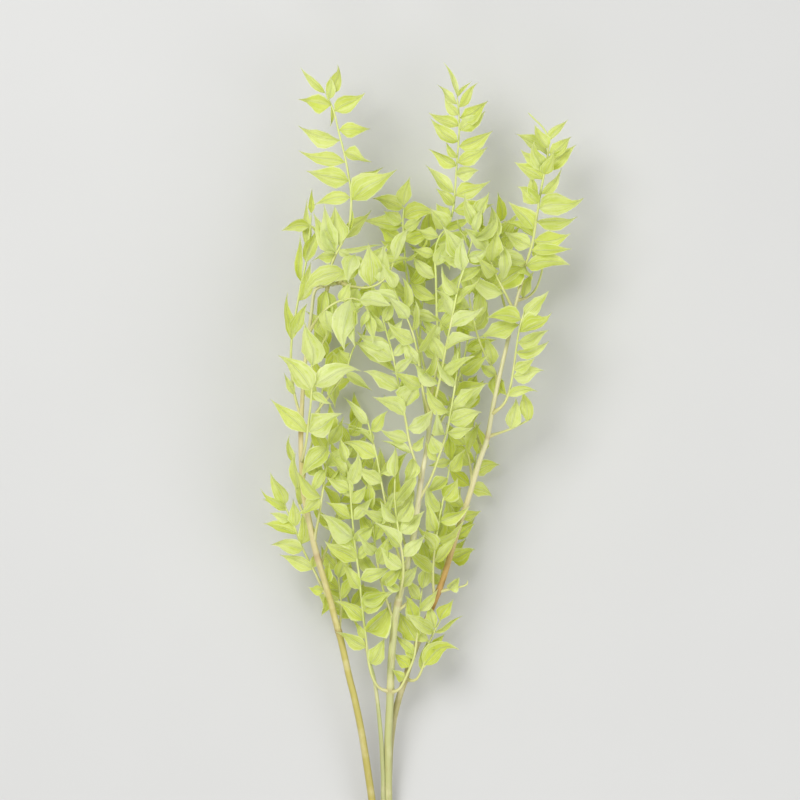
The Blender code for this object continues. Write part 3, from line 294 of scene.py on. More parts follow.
def between(where, known, values):
    # each column of the values, known at some measures, read off at others
    return np.column_stack([np.interp(where, known, column) for column in values.T])


def rotated(one, other, angle):
    # two crossed directions, both turned by the angle from the one to the other
    cos, sin = math.cos(angle), math.sin(angle)
    return cos * one + sin * other, cos * other - sin * one


def evenly(path, step):
    # the same path, with points at even spacing of about one step
    travel = travelled(path)
    even = np.linspace(0, travel[-1], max(2, round(travel[-1] / step)) + 1)
    return between(even, travel, path)


def smoothPath(points):
    # Catmull-Rom curve: each span is a cubic of its two ends and their two neighbours
    ends = np.vstack([2 * points[0] - points[1], points, 2 * points[-1] - points[-2]])
    share = np.linspace(0, 1, layout["curveSteps"], endpoint=False)[:, None]
    spans = [
        b + 0.5 * share * (c - a + share * (2 * a - 5 * b + 4 * c - d + share * (3 * b - 3 * c + d - a)))
        for a, b, c, d in zip(ends, ends[1:], ends[2:], ends[3:])
    ]
    return evenly(np.vstack(spans + [points[-1:]]), layout["fineStep"])


def directions(path):
    # unit slope at each point
    return unit(np.gradient(path, axis=0))


def ringed(fine, rings):
    # ring places of the solids' tubes, one for each length and one for each turn, and the place on the
    # straight lines between them beside each fine point
    length, turn = rings
    ahead = unit(np.diff(fine, axis=0))
    bends = np.degrees(np.arccos(np.clip((ahead[1:] * ahead[:-1]).sum(axis=1), -1, 1)))
    measure = np.concatenate([[0], np.cumsum(layout["fineStep"] / length + np.append(bends, 0) / turn)])
    even = np.linspace(0, measure[-1], math.ceil(measure[-1]) + 1)
    few = between(even, measure, fine)
    return few, between(measure, even, few)


def spokes(path, angles):
    # at each point a unit vector for each angle, turning from level across the path to above it
    ahead = directions(path)
    across = unit(np.cross(ahead, up))
    above = np.cross(across, ahead)
    return np.cos(angles)[:, None] * across[:, None] + np.sin(angles)[:, None] * above[:, None]


def ringFaces(rings, sides):
    # quads between the rings of a closed tube, and a fan at each end round one more point
    ring, side = np.meshgrid(np.arange(rings - 1), np.arange(sides), indexing="ij")
    low, high = ring * sides + side, ring * sides + (side + 1) % sides
    quads = np.stack([low, low + sides, high + sides, high], axis=-1).reshape(-1, 4)
    first, last = rings * sides, rings * sides + 1
    k = np.arange(sides)
    start = np.stack([np.full(sides, first), k, (k + 1) % sides], axis=-1)
    end = np.stack([np.full(sides, last), first - sides + (k + 1) % sides, first - sides + k], axis=-1)
    return quads, np.vstack([start, end])


def flatTube(path, radii, sides):
    # flat-sided tube of the solids: a ring of corners at the radius round each point of its path
    angles = (np.arange(sides) + 0.5) * 2 * math.pi / sides - math.pi / 2
    points = (path[:, None] + radii[:, None, None] * spokes(path, angles)).reshape(-1, 3)
    quads = np.roll(ringFaces(len(path), sides)[0], -1, axis=1)
    last = list(range(len(points) - sides, len(points)))
    return points, [list(range(sides)), last[::-1], *quads.tolist()]


def roundTube(path, radii, sides, shape=0):
    # a circle of the radius round each point, pushed out by a share that varies round and along it
    angles = np.arange(sides) * 2 * math.pi / sides
    reach = radii[:, None] * (1 + shape * np.ones((len(path), sides)))
    points = path[:, None] + reach[..., None] * spokes(path, angles)
    travel = travelled(path)
    uvs = np.stack(np.broadcast_arrays(angles[None] / (2 * math.pi), travel[:, None]), axis=-1)
    capUvs = np.array([[0.5, 0], [0.5, travel[-1]]])
    quads, fans = ringFaces(len(path), sides)
    points = np.vstack([points.reshape(-1, 3), path[[0, -1]]])
    return points, [*quads.tolist(), *fans.tolist()], np.vstack([uvs.reshape(-1, 2), capUvs])


def overTube(values, sides):
    # a value of each ring for all its points, and those of the ends for the two end points
    return np.concatenate([np.repeat(values, sides, axis=0), values[[0, -1]]])


# leaves where the solids have them: the same rule, with the same order of draws
rule = {
    "leafLength": 0.0345, "leafSpacing": 0.0100, "leafWidth": 0.37, "widths": (0.88, 1.12),
    "bow": (-0.02, 0.13), "bend": (-0.02, 0.1), "twist": 28,  # shares of the length, and degrees
    "wildBow": (-0.12, 0.2), "wildBend": 0.14, "wildFace": 1.5, "wildSplay": 2, "wildRoll": 2,
    "faceStray": 16, "splayStray": 9, "liftStray": 0.22, "rollStray": 0.45, "reachingRollStray": 0.5,
    "sizes": (0.86, 1.08), "smallerToTip": 0.22, "closerToTip": 0.5, "endShare": 0.999,
    "tilts": (0, 14, -14, 28, -28, 42, -42, 58, -58, 72), "rolls": (0, 30, -30, 60),
    "shrinks": (1.0, 0.8, 0.62), "longest": 1.33, "clearance": 0.0004,
    # the solids' blade: places along the rib with the share of the width there
    "stations": ((0.28, 1.00), (0.62, 0.70)), "fold": 0.34, "ribThickness": 0.0010, "rootSink": 0.0004,
}


def stray(dice, most):
    # an even draw from minus the most to the most
    return dice.uniform(-most, most)


def blade(leaf, grow=0.0):
    # flat-faceted leaf of the solids, used here only to find the same clear turns: a root, four corners
    # at each station of the bowed and bent rib, and a tip, all pushed out by the growth
    ahead, facing, length = leaf["ahead"], leaf["facing"], leaf["length"]
    across = np.cross(ahead, facing)
    curve = leaf["bow"] * facing + leaf["bend"] * across
    points = [leaf["root"] - (rule["rootSink"] + grow) * ahead]
    for along, wide in rule["stations"]:
        centre = leaf["root"] + length * (along * ahead + 4 * along * (1 - along) * curve)
        outward = unit(facing - 4 * leaf["bow"] * (1 - 2 * along) * ahead)
        side, outward = rotated(across, outward, leaf["twist"] * along)
        half = wide * leaf["width"] / 2 + grow
        rise = rule["fold"] * wide * leaf["width"] / 2 * outward
        thick = (rule["ribThickness"] / 2 + grow) * outward
        points += [centre - half * side + rise, centre + thick, centre + half * side + rise, centre - thick]
    return np.array(points + [leaf["root"] + (length + grow) * ahead])


def bladeFaces():
    # triangles from the root to the first four corners, between stations, and on to the tip
    faces = []
    last = 1 + 4 * len(rule["stations"])
    for k in range(4):
        after = (k + 1) % 4
        faces += [(1 + after, 1 + k, 0), (last - 4 + k, last - 4 + after, last)]
        for ring in range(1, last - 4, 4):
            low, high = ring + k, ring + after
            if k % 2 == 0:
                faces += [(high + 4, low + 4, low), (high, high + 4, low)]
            else:
                faces += [(high, low + 4, low), (high + 4, low + 4, high)]
    return faces


plainFaces = bladeFaces()


def caneTube(cane):
    # the solid's cane: a flat-sided tube, raised where it would sink into the floor
    path = ringed(smoothPath(inMetres(cane["route"])), layout["caneRings"])[0]
    travel = travelled(path)
    radii = spread(travel / travel[-1], cane["radius"])
    path[:, 2] = np.maximum(path[:, 2], radii * math.cos(math.pi / layout["caneSides"]))
    return path, radii, *flatTube(path, radii, layout["caneSides"])


def stalkPath(details, solids):
    # the stalk's route from the nearest place on its cane, less the part that lies in the cane
    path, radii = solids[details["cane"]][:2]
    cane = evenly(path, layout["fineStep"])
    if details["start"] is None:
        start, gap = cane[-1], layout["clearance"]
    else:
        wanted = inMetres([(*details["start"], 0)])[0, :2]
        nearest = np.argmin(np.linalg.norm(cane[:, :2] - wanted, axis=1))
        start = cane[nearest]
        gap = spread(nearest / len(cane), radii) + layout["stalkRootRadius"] + layout["clearance"]
    whole = smoothPath(np.vstack([start, inMetres(details["route"])]))
    apart = np.linalg.norm(whole[:, None] - cane[None], axis=2).min(axis=1)
    fine = evenly(whole[np.argmax(apart > gap):], layout["fineStep"])
    fine[:, 2] = np.maximum(fine[:, 2], layout["stalkRadius"] + layout["clearance"])
    few, beside = ringed(fine, layout["stalkRings"])
    return {"ahead": directions(fine), "roots": beside, "rings": few, "fine": fine, "whole": whole}


def stalkTube(details, path):
    # the solid's stalk, from its root radius to its tip radius
    radii = np.linspace(layout["stalkRadius"], layout["stalkTipRadius"], len(path["rings"]))
    if details["start"] is not None:
        radii[0] = layout["stalkRootRadius"]
    return flatTube(path["rings"], radii, layout["stalkSides"])


def leafAt(at, path, ahead, facing, length, wild, dice):
    # one leaf with its own small differences, its width by the root of its length; it bends a little
    # to the foot of its stalk
    facing = unit(facing - facing.dot(ahead) * ahead)
    footward = -1 if np.cross(ahead, facing).dot(path["ahead"][at]) > 0 else 1
    return {
        "at": at, "root": path["roots"][at], "ahead": ahead, "facing": facing, "length": length,
        "reaches": False,
        "width": math.sqrt(length * rule["leafLength"]) * rule["leafWidth"] * dice.uniform(*rule["widths"]),
        "bow": dice.uniform(*rule["bow"]) + wild * dice.uniform(*rule["wildBow"]),
        "bend": footward * dice.uniform(*rule["bend"]) + wild * stray(dice, rule["wildBend"]),
        "twist": math.radians(stray(dice, rule["twist"]) * (1 + wild)),
    }


def ruledLeaves(details, path, dice):
    # alternate leaves in two ranks, shorter and closer to the stalk towards its tip
    low, high = details["span"]
    wild = details["wild"]
    travel, roots = path["ahead"], path["roots"]
    count = round(len(roots) * layout["fineStep"] * (high - low) / rule["leafSpacing"])
    leaves = []
    for index in range(count):
        share = low + (high - low) * (index + 1) / count
        at = min(int(share * len(roots)), len(roots) - 1)
        level = unit(up - travel[at].dot(up) * travel[at])
        sideways = np.cross(travel[at], level)
        face = math.radians(details["face"] + stray(dice, rule["faceStray"]) * (1 + rule["wildFace"] * wild))
        rank, facing = rotated(sideways, level, face)
        side = 1 if index % 2 else -1
        splay = details["splay"] * (1 - rule["closerToTip"] * share)
        splay = math.radians(splay + stray(dice, rule["splayStray"]) * (1 + rule["wildSplay"] * wild))
        splay = 0 if share > rule["endShare"] else splay
        ahead = unit(math.cos(splay) * travel[at] + math.sin(splay) * side * rank
                     + stray(dice, rule["liftStray"]) * (1 + wild) * facing)
        roll = stray(dice, rule["rollStray"]) * (1 + rule["wildRoll"] * wild)
        facing = facing + roll * np.cross(ahead, facing)
        size = details["leaf"] * (1 - rule["smallerToTip"] * share) * dice.uniform(*rule["sizes"])
        leaves.append(leafAt(at, path, ahead, facing, rule["leafLength"] * size, wild, dice))
    return leaves


def reachingLeaves(details, path, dice):
    # leaves from the listed rows or shares of the stalk, with their tips at the listed places
    leaves = []
    for column, row, root, *form in details["tips"]:
        if root <= 1:
            at = int(root * (len(path["roots"]) - 1))
        else:
            at = np.argmin(np.abs(path["roots"][:, 1] - inMetres([(column, root, 0)])[0, 1]))
        reach = inMetres([(column, row, 0)])[0] - path["roots"][at]
        reach[2] = 0
        ahead = unit(reach)
        facing = up + stray(dice, rule["reachingRollStray"]) * np.cross(ahead, up)
        leaf = leafAt(at, path, ahead, facing, np.linalg.norm(reach), 0, dice)
        leaf["reaches"] = True
        leaf["width"] *= form[0] if form else 1
        leaf["bend"] = form[1] if len(form) > 1 else leaf["bend"]
        leaves.append(leaf)
    return leaves


def turned(leaf, tilt, roll):
    # turned towards the viewer, then rolled about its rib; longer by what the turn foreshortens
    tilt, roll = math.radians(tilt), math.radians(roll)
    longer = min(1 / math.cos(tilt), rule["longest"]) if leaf["reaches"] else 1
    ahead = unit(rotated(leaf["ahead"], up, tilt)[0])
    facing = unit(leaf["facing"] - leaf["facing"].dot(ahead) * ahead)
    facing = rotated(facing, np.cross(ahead, facing), roll)[0]
    return {**leaf, "ahead": ahead, "facing": facing, "length": longer * leaf["length"]}


def surface(points, faces):
    # a search tree of the faces, and the two corners of their box
    return BVHTree.FromPolygons(points.tolist(), faces), points.min(axis=0), points.max(axis=0)


def meets(one, other):
    # true where the boxes overlap and the faces cross
    apart = (one[1] > other[2]).any() or (other[1] > one[2]).any()
    return not apart and bool(one[0].overlap(other[0]))


def placeClear(leaf, placed):
    # the first turn that clears the floor and all before it, at full size or smaller
    for size in rule["shrinks"]:
        smaller = {**leaf, "length": size * leaf["length"], "width": size * leaf["width"]}
        for tilt in rule["tilts"]:
            for roll in rule["rolls"]:
                tried = turned(smaller, tilt, roll)
                grown = surface(blade(tried, rule["clearance"]), plainFaces)
                if grown[1][2] > 0 and not any(meets(grown, other) for other in placed):
                    return tried
    return None


def growSprays(solids):
    # path and clear leaves of each spray, one spray after another, each with its own seed
    paths = {name: stalkPath(details, solids) for name, details in sprays.items()}
    fixed = {name: surface(*stalkTube(sprays[name], path)) for name, path in paths.items()}
    around = [surface(*cane[2:]) for cane in solids.values()]
    placed = []
    grown = {}
    for seed, (name, details) in enumerate(sprays.items()):
        dice = random.Random(seed)
        others = around + [other for key, other in fixed.items() if key != name]
        leaves = []
        for leaf in reachingLeaves(details, paths[name], dice) + ruledLeaves(details, paths[name], dice):
            found = placeClear(leaf, others + placed)
            if found is not None:
                leaves.append(found)
                placed.append(surface(blade(found), plainFaces))
        grown[name] = (paths[name], leaves)
    return grown


solids = {name: caneTube(cane) for name, cane in canes.items()}
ownLow = np.vstack([cane[2] for cane in solids.values()]).min(axis=0)
shift = np.array(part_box("branched_cane")[0]) - ownLow  # from the cut end to the middle of the stem's box
grown = growSprays(solids)
print("laid out", sum(len(leaves) for _, leaves in grown.values()), "leaves on", len(grown), "stalks")


def shown(name, data):
    # an object of this data, at the origin of the scene
    made = bpy.data.objects.new(name, data)
    bpy.context.scene.collection.objects.link(made)
    return made


def newPiece(name, points, faces, uvs, values, finish, node, sharp=None):
    # one piece from whole arrays, with its UV map and its point attributes
    mesh = bpy.data.meshes.new(name)
    mesh.from_pydata((points + shift).tolist(), [], faces)
    mesh.shade_smooth()
    loops = np.empty(len(mesh.loops), np.int32)
    mesh.loops.foreach_get("vertex_index", loops)
    layer = mesh.uv_layers.new(name="surfaceMap")
    layer.data.foreach_set("uv", uvs[loops].astype(np.float32).ravel())
    for key, numbers in values.items():
        kind, field = ("FLOAT_COLOR", "color") if numbers.ndim == 2 else ("FLOAT", "value")
        attribute = mesh.attributes.new(key, kind, "POINT")
        attribute.data.foreach_set(field, numbers.astype(np.float32).ravel())
    if sharp is not None:
        edges = np.empty(len(mesh.edges) * 2, np.int32)
        mesh.edges.foreach_get("vertices", edges)
        attribute = mesh.attributes.new("sharp_edge", "BOOLEAN", "EDGE")
        attribute.data.foreach_set("value", sharp[edges.reshape(-1, 2)].all(axis=1))
    mesh.materials.append(finish)
    made = shown(name, mesh)
    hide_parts(node)
    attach(made, "root")


# finishes
class Finish:
    # a material, with the few node patterns that the finishes are made of
    def __init__(self, name):
        self.material = bpy.data.materials.new(name)
        self.material.use_nodes = True
        self.nodes, self.links = self.material.node_tree.nodes, self.material.node_tree.links
        self.shader = self.nodes["Principled BSDF"]

    def fill(self, node, inputs):
        # numbers and colours are set on the node's own sockets, and the rest is linked
        for key, value in inputs.items():
            if isinstance(value, bpy.types.NodeSocket):
                self.links.new(value, node.inputs[key])
            else:
                node.inputs[key].default_value = (*value, 1) if isinstance(value, tuple) else value

    def add(self, kind, inputs=None, **settings):
        node = self.nodes.new("ShaderNode" + kind)
        for key, value in settings.items():
            setattr(node, key, value)
        self.fill(node, inputs or {})
        return node

    def maths(self, operation, one, two=0.5):
        return self.add("Math", {0: one, 1: two}, operation=operation).outputs[0]

    def times(self, one, two):
        return self.maths("MULTIPLY", one, two)

    def mix(self, share, one, two):
        # one colour times what the share leaves, and the other times the share
        return self.add("Mix", {"Factor": share, 6: one, 7: two}, data_type="RGBA").outputs[2]

    def over(self, base, mask, share, colour):
        # the colour over the base, by a share of the mask
        return self.mix(self.times(mask, share), base, colour)

    def ramp(self, value, low, high, down=False):
        # smooth step from 0 at the low value to 1 at the high one, or down from 1 to 0
        inputs = {
            "Value": value, "From Min": low, "From Max": high, "To Min": float(down), "To Max": 1.0 - down}
        return self.add("MapRange", inputs, interpolation_type="SMOOTHSTEP").outputs["Result"]

    def streaks(self, across, along, third, scales, detail=2.0):
        # noise of the surface map times a scale each way, so that it reads as fibres or veins
        place = {"X": self.times(across, scales[0]), "Y": self.times(along, scales[1]), "Z": third}
        return self.noise(self.add("CombineXYZ", place).outputs[0], 1.0, detail)

    def clouds(self, scale, detail=2.0):
        # noise of the place on the object
        return self.noise(self.add("TexCoord").outputs["Object"], scale, detail)

    def noise(self, place, scale, detail):
        return self.add("TexNoise", {"Vector": place, "Scale": scale, "Detail": detail}).outputs["Fac"]

    def attribute(self, name, output):
        return self.add("Attribute", attribute_name=name).outputs[output]

    def surfaceMap(self):
        place = self.add("SeparateXYZ", {0: self.add("UVMap", uv_map="surfaceMap").outputs["UV"]})
        return place.outputs["X"], place.outputs["Y"]

    def bump(self, height, distance, strength):
        # relief of the height times the distance in metres
        made = self.add("Bump", {"Height": height, "Distance": distance, "Strength": strength}).outputs[0]
        self.links.new(made, self.shader.inputs["Normal"])
        return made


leafColours = {
    "deep": (0.62, 0.72, 0.07), "middle": (0.74, 0.81, 0.12), "pale": (0.86, 0.91, 0.58),
    # fold: painted shade, the darker colour of the crease beside the rib
    "margin": (0.96, 0.98, 0.78), "through": (0.93, 0.97, 0.05), "fold": (0.50, 0.60, 0.05),
    # streaks: scales across and along a leaf, and detail
    "veins": (22, 1.1, 1.0), "clouds": (2.2, 1.6, 2.0), "blotches": (7, 9, 2.0), "seedScale": 61.0,
    # laid over the leaf's own tone in this order: what it follows, where it starts and is full, whether
    # it falls instead, its share and its colour
    "layers": {
        "cloud": ("clouds", 0.42, 0.68, False, 0.5, "deep"),
        "blotch": ("blotches", 0.53, 0.64, False, 0.30, "deep"),
        "vein": ("veins", 0.48, 0.60, False, 0.42, "margin"),
        # partly the leaf's own pale margin and partly painted highlight where the edge catches light
        "edge": ("fromRib", 0.43, 0.49, False, 0.7, "margin"),
        "tip": ("along", 0.74, 1.0, False, 0.7, "margin"),
        # painted shade: a darker strip in the fold beside the rib, where the crease is shaded
        "beside": ("fromRib", 0.030, 0.085, True, 0.25, "fold"),
        "rib": ("fromRib", 0.008, 0.030, True, 0.75, "margin"),
    },
    "roughness": 0.42, "specular": 0.45, "shareThrough": 0.55, "throughTint": 0.5,
    "crumpleScale": 110.0, "crumple": 3.2, "relief": (0.0004, 0.8),  # metres, strength
}


def leafFinish():
    # parallel veins, a darker line of painted shade in the fold beside the rib and a thin pale margin that is
    # partly painted highlight, by place on the leaf; each leaf has its own tone, partly painted light by
    # depth, and small blotches
    finish = Finish("limeLeafSkin")
    across, along = finish.surfaceMap()
    tone = finish.attribute("tone", "Fac")
    own = finish.times(tone, leafColours["seedScale"])
    followed = {"along": along, "fromRib": finish.maths("ABSOLUTE", finish.maths("SUBTRACT", across, 0.5))}
    for name in ("veins", "clouds", "blotches"):
        *scales, detail = leafColours[name]
        followed[name] = finish.streaks(across, along, own, scales, detail)
    # the leaf's tone mixes middle and pale: partly random, partly painted light that is paler on leaves
    # nearer the front
    base = finish.mix(tone, leafColours["middle"], leafColours["pale"])
    masks = {}
    for name, (follows, low, high, down, share, colour) in leafColours["layers"].items():
        masks[name] = finish.ramp(followed[follows], low, high, down)
        base = finish.over(base, masks[name], share, leafColours[colour])
    finish.fill(finish.shader, {
        "Base Color": base, "Roughness": leafColours["roughness"],
        "Specular IOR Level": leafColours["specular"]})
    crumple = finish.times(finish.clouds(leafColours["crumpleScale"]), leafColours["crumple"])
    relief = finish.maths("ADD", finish.maths("ADD", followed["veins"], masks["rib"]), crumple)
    normal = finish.bump(relief, *leafColours["relief"])
    light = finish.mix(leafColours["throughTint"], base, leafColours["through"])
    through = finish.add("BsdfTranslucent", {"Color": light, "Normal": normal})
    mixed = finish.add("MixShader", {
        "Fac": leafColours["shareThrough"], 1: finish.shader.outputs[0], 2: through.outputs[0]})
    finish.links.new(mixed.outputs[0], finish.nodes["Material Output"].inputs["Surface"])
    return finish.material


stemColours = {
    "fibre": (0.36, 0.27, 0.10), "fibreScale": 55, "fibreRamp": (0.50, 0.75), "fibreShare": 0.45,
    "patch": (0.78, 0.72, 0.44), "patchScale": 45.0, "patchRamp": (0.52, 0.70), "patchShare": 0.35,
    "scar": (0.36, 0.24, 0.10), "scarShare": 0.45, "seedScale": 3.0, "detail": 3.0, "specular": 0.4,
    "reliefStrength": 0.6,
    # streaks round the stem, roughness, and depth of the relief in metres
    "cane": (9.0, 0.46, 0.0004), "stalk": (5.0, 0.5, 0.0002),
}


def stemFinish(name, kind):
    # colour along the stem from its points, with darker fibres and paler patches
    finish = Finish(name)
    scaleRound, roughness, depth = stemColours[kind]
    around, along = finish.surfaceMap()
    scar = finish.attribute("scar", "Fac")
    seed = finish.times(along, stemColours["seedScale"])
    scales = (scaleRound, stemColours["fibreScale"])
    fibres = finish.streaks(around, along, seed, scales, stemColours["detail"])
    patches = finish.clouds(stemColours["patchScale"], stemColours["detail"])
    base = finish.attribute("tone", "Color")
    for layer, mask in (("fibre", fibres), ("patch", patches)):
        mask = finish.ramp(mask, *stemColours[layer + "Ramp"])
        base = finish.over(base, mask, stemColours[layer + "Share"], stemColours[layer])
    base = finish.over(base, scar, stemColours["scarShare"], stemColours["scar"])
    finish.fill(finish.shader, {
        "Base Color": base, "Roughness": roughness, "Specular IOR Level": stemColours["specular"]})
    finish.bump(finish.maths("SUBTRACT", fibres, scar), depth, stemColours["reliefStrength"])
    return finish.material


leafSkin = leafFinish()
caneSkin = stemFinish("dryStrawSkin", "cane")
stalkSkin = stemFinish("limeStalkSkin", "stalk")


# canes
caneDetails = {
    "sides": 24, "step": 0.003, "nodeSwell": 0.10, "nodeLength": 0.0045,
    "scarPlace": 0.001, "scarLength": 0.0012,
    # waves round a cane: how high, how many round it, and how much they turn along it; and their mean
    "waves": ((0.035, 2, 9), (0.018, 5, -14)), "waveMean": -0.04,
    # rows of the nodes, and colours along each cane by row of the photograph
    "main": {"nodes": (692, 603, 480), "colours": (
        (904, (0.42, 0.42, 0.16)), (700, (0.50, 0.52, 0.22)), (612, (0.58, 0.59, 0.29)),
        (560, (0.60, 0.59, 0.34)), (480, (0.66, 0.62, 0.40)), (397, (0.64, 0.65, 0.36)))},
    "left": {"nodes": (632, 557, 432, 290), "colours": (
        (884, (0.42, 0.36, 0.09)), (700, (0.49, 0.43, 0.11)), (600, (0.53, 0.47, 0.14)),
        (566, (0.58, 0.52, 0.24)), (557, (0.60, 0.50, 0.28)), (548, (0.60, 0.54, 0.27)),
        (500, (0.62, 0.54, 0.24)), (446, (0.60, 0.52, 0.22)), (432, (0.58, 0.42, 0.14)),
        (418, (0.60, 0.54, 0.24)), (380, (0.60, 0.56, 0.27)), (284, (0.62, 0.64, 0.34)))},
    "second": {"nodes": (), "colours": ((812, (0.42, 0.44, 0.19)), (672, (0.46, 0.50, 0.21)))},
    "right": {"nodes": (681, 592, 437), "colours": (
        (790, (0.42, 0.40, 0.18)), (650, (0.46, 0.42, 0.17)), (610, (0.50, 0.28, 0.07)),
        (560, (0.54, 0.36, 0.12)), (530, (0.60, 0.53, 0.25)), (450, (0.62, 0.60, 0.34)),
        (285, (0.62, 0.60, 0.33)))},
}


def caneShape(key):
    # a tapering tube: its radius swells as a bell curve at each node, and a few waves round and along
    # it put it out of round; each node has a scar line, another bell curve just beside it
    cane, details, sides = canes[key], caneDetails[key], caneDetails["sides"]
    path = evenly(smoothPath(inMetres(cane["route"])), caneDetails["step"])
    travel = np.linspace(0, 1, len(path))
    rows = layout["cutRow"] - path[:, 1] / pixel
    swell, line = np.zeros(len(path)), np.zeros(len(path))
    for row in details["nodes"]:
        far = np.abs(rows - row) * pixel
        swell += np.exp(-((far / caneDetails["nodeLength"]) ** 2))
        beside = (far - caneDetails["scarPlace"]) / caneDetails["scarLength"]
        line = np.maximum(line, np.exp(-(beside ** 2)))
    radii = spread(travel, cane["radius"]) * (1 + caneDetails["nodeSwell"] * swell)
    path[:, 2] = np.maximum(path[:, 2], radii)
    around, along = np.meshgrid(np.arange(sides) * 2 * math.pi / sides, travel)
    shape = caneDetails["waveMean"] + sum(
        high * np.cos(count * around + twist * along) for high, count, twist in caneDetails["waves"])
    points, faces, uvs = roundTube(path, radii, sides, shape)
    stops, colours = zip(*sorted(details["colours"]))
    tones = np.column_stack([between(rows, stops, np.array(colours)), np.ones(len(rows))])
    return points, faces, uvs, overTube(tones, sides), overTube(line, sides)


def joinShapes(shapes):
    # several shapes as one set of arrays, with their corners renumbered
    starts = np.cumsum([0] + [len(shape[0]) for shape in shapes[:-1]])
    faces = [[corner + start for corner in face] for shape, start in zip(shapes, starts) for face in shape[1]]
    return [np.concatenate([shape[0] for shape in shapes]), faces] + [
        np.concatenate([shape[k] for shape in shapes]) for k in range(2, len(shapes[0]))]


points, faces, uvs, tones, scar = joinShapes([caneShape(key) for key in canes])
newPiece(
    "cane_surface", points, faces, uvs, {"tone": tones, "scar": scar}, caneSkin, "branched_cane")
print("canes made,", len(faces), "faces")


# sprays
stalkDetails = {
    "sides": 8, "step": 0.0035, "collarLength": 0.007, "collarRadius": 0.0021, "tipShare": 0.4,
    "colour": (0.62, 0.69, 0.24), "rootColour": (0.58, 0.54, 0.24), "rootLength": 0.03,
}
leafDetails = {
    # half width by place along the rib, and places across it, on the front and then back on the rear
    "outline": ((0, 0.05), (0.05, 0.14), (0.15, 0.64), (0.28, 0.97), (0.42, 0.96), (0.58, 0.70), (0.74, 0.36),
                (0.88, 0.13), (1, 0.0)),
    "columns": (-1, -0.55, 0, 0.55, 1, 0.55, 0, -0.55), "rear": (0, 0, 0, 0, 0, 1, 1, 1),
    "wider": 1.06, "thickness": 0.00035, "fold": (0.10, 0.95), "foldPower": 1.3, "hook": (-0.18, 0.22),
    "sweep": 0.04, "wave": 0.60, "waveTurns": 7, "wavePhases": (0, 6.28), "lean": 0.12,
    "ragged": 0.06,  # how much the margins stray, as a share of the half width
    # painted light and shade by depth: leaves higher towards the front are paler, those deeper in darker: the
    # height where that starts, its span, and its share
    "behind": 0.035, "depth": 0.065, "paintedDepthLight": 0.5,
    "firstSeed": 1000,
}


def stalkShape(details, path):
    # a thin tube that starts inside its cane, swells there to a collar by a bell curve, and ends in a
    # point; its colour leaves the root's as the distance from it decays
    start, end = layout["stalkRadius"], layout["stalkTipRadius"]
    route = evenly(path["whole"], stalkDetails["step"])
    travel = np.linspace(0, 1, len(route))
    length = travel * len(path["whole"]) * layout["fineStep"]
    collar = stalkDetails["collarRadius"]
    if details["start"] is None:
        collar = canes[details["cane"]]["radius"][-1]
    swell = np.exp(-((length / stalkDetails["collarLength"]) ** 2))
    radii = start + (end - start) * travel + (collar - start) * swell
    radii[-1] *= stalkDetails["tipShare"]
    route[:, 2] = np.maximum(route[:, 2], radii)
    points, faces, uvs = roundTube(route, radii, stalkDetails["sides"])
    blend = np.exp(-length / stalkDetails["rootLength"])[:, None]
    tones = np.array(stalkDetails["rootColour"]) * blend + np.array(stalkDetails["colour"]) * (1 - blend)
    tones = np.column_stack([tones, np.ones(len(tones))])
    return points, faces, uvs, overTube(tones, stalkDetails["sides"]), np.zeros(len(points))


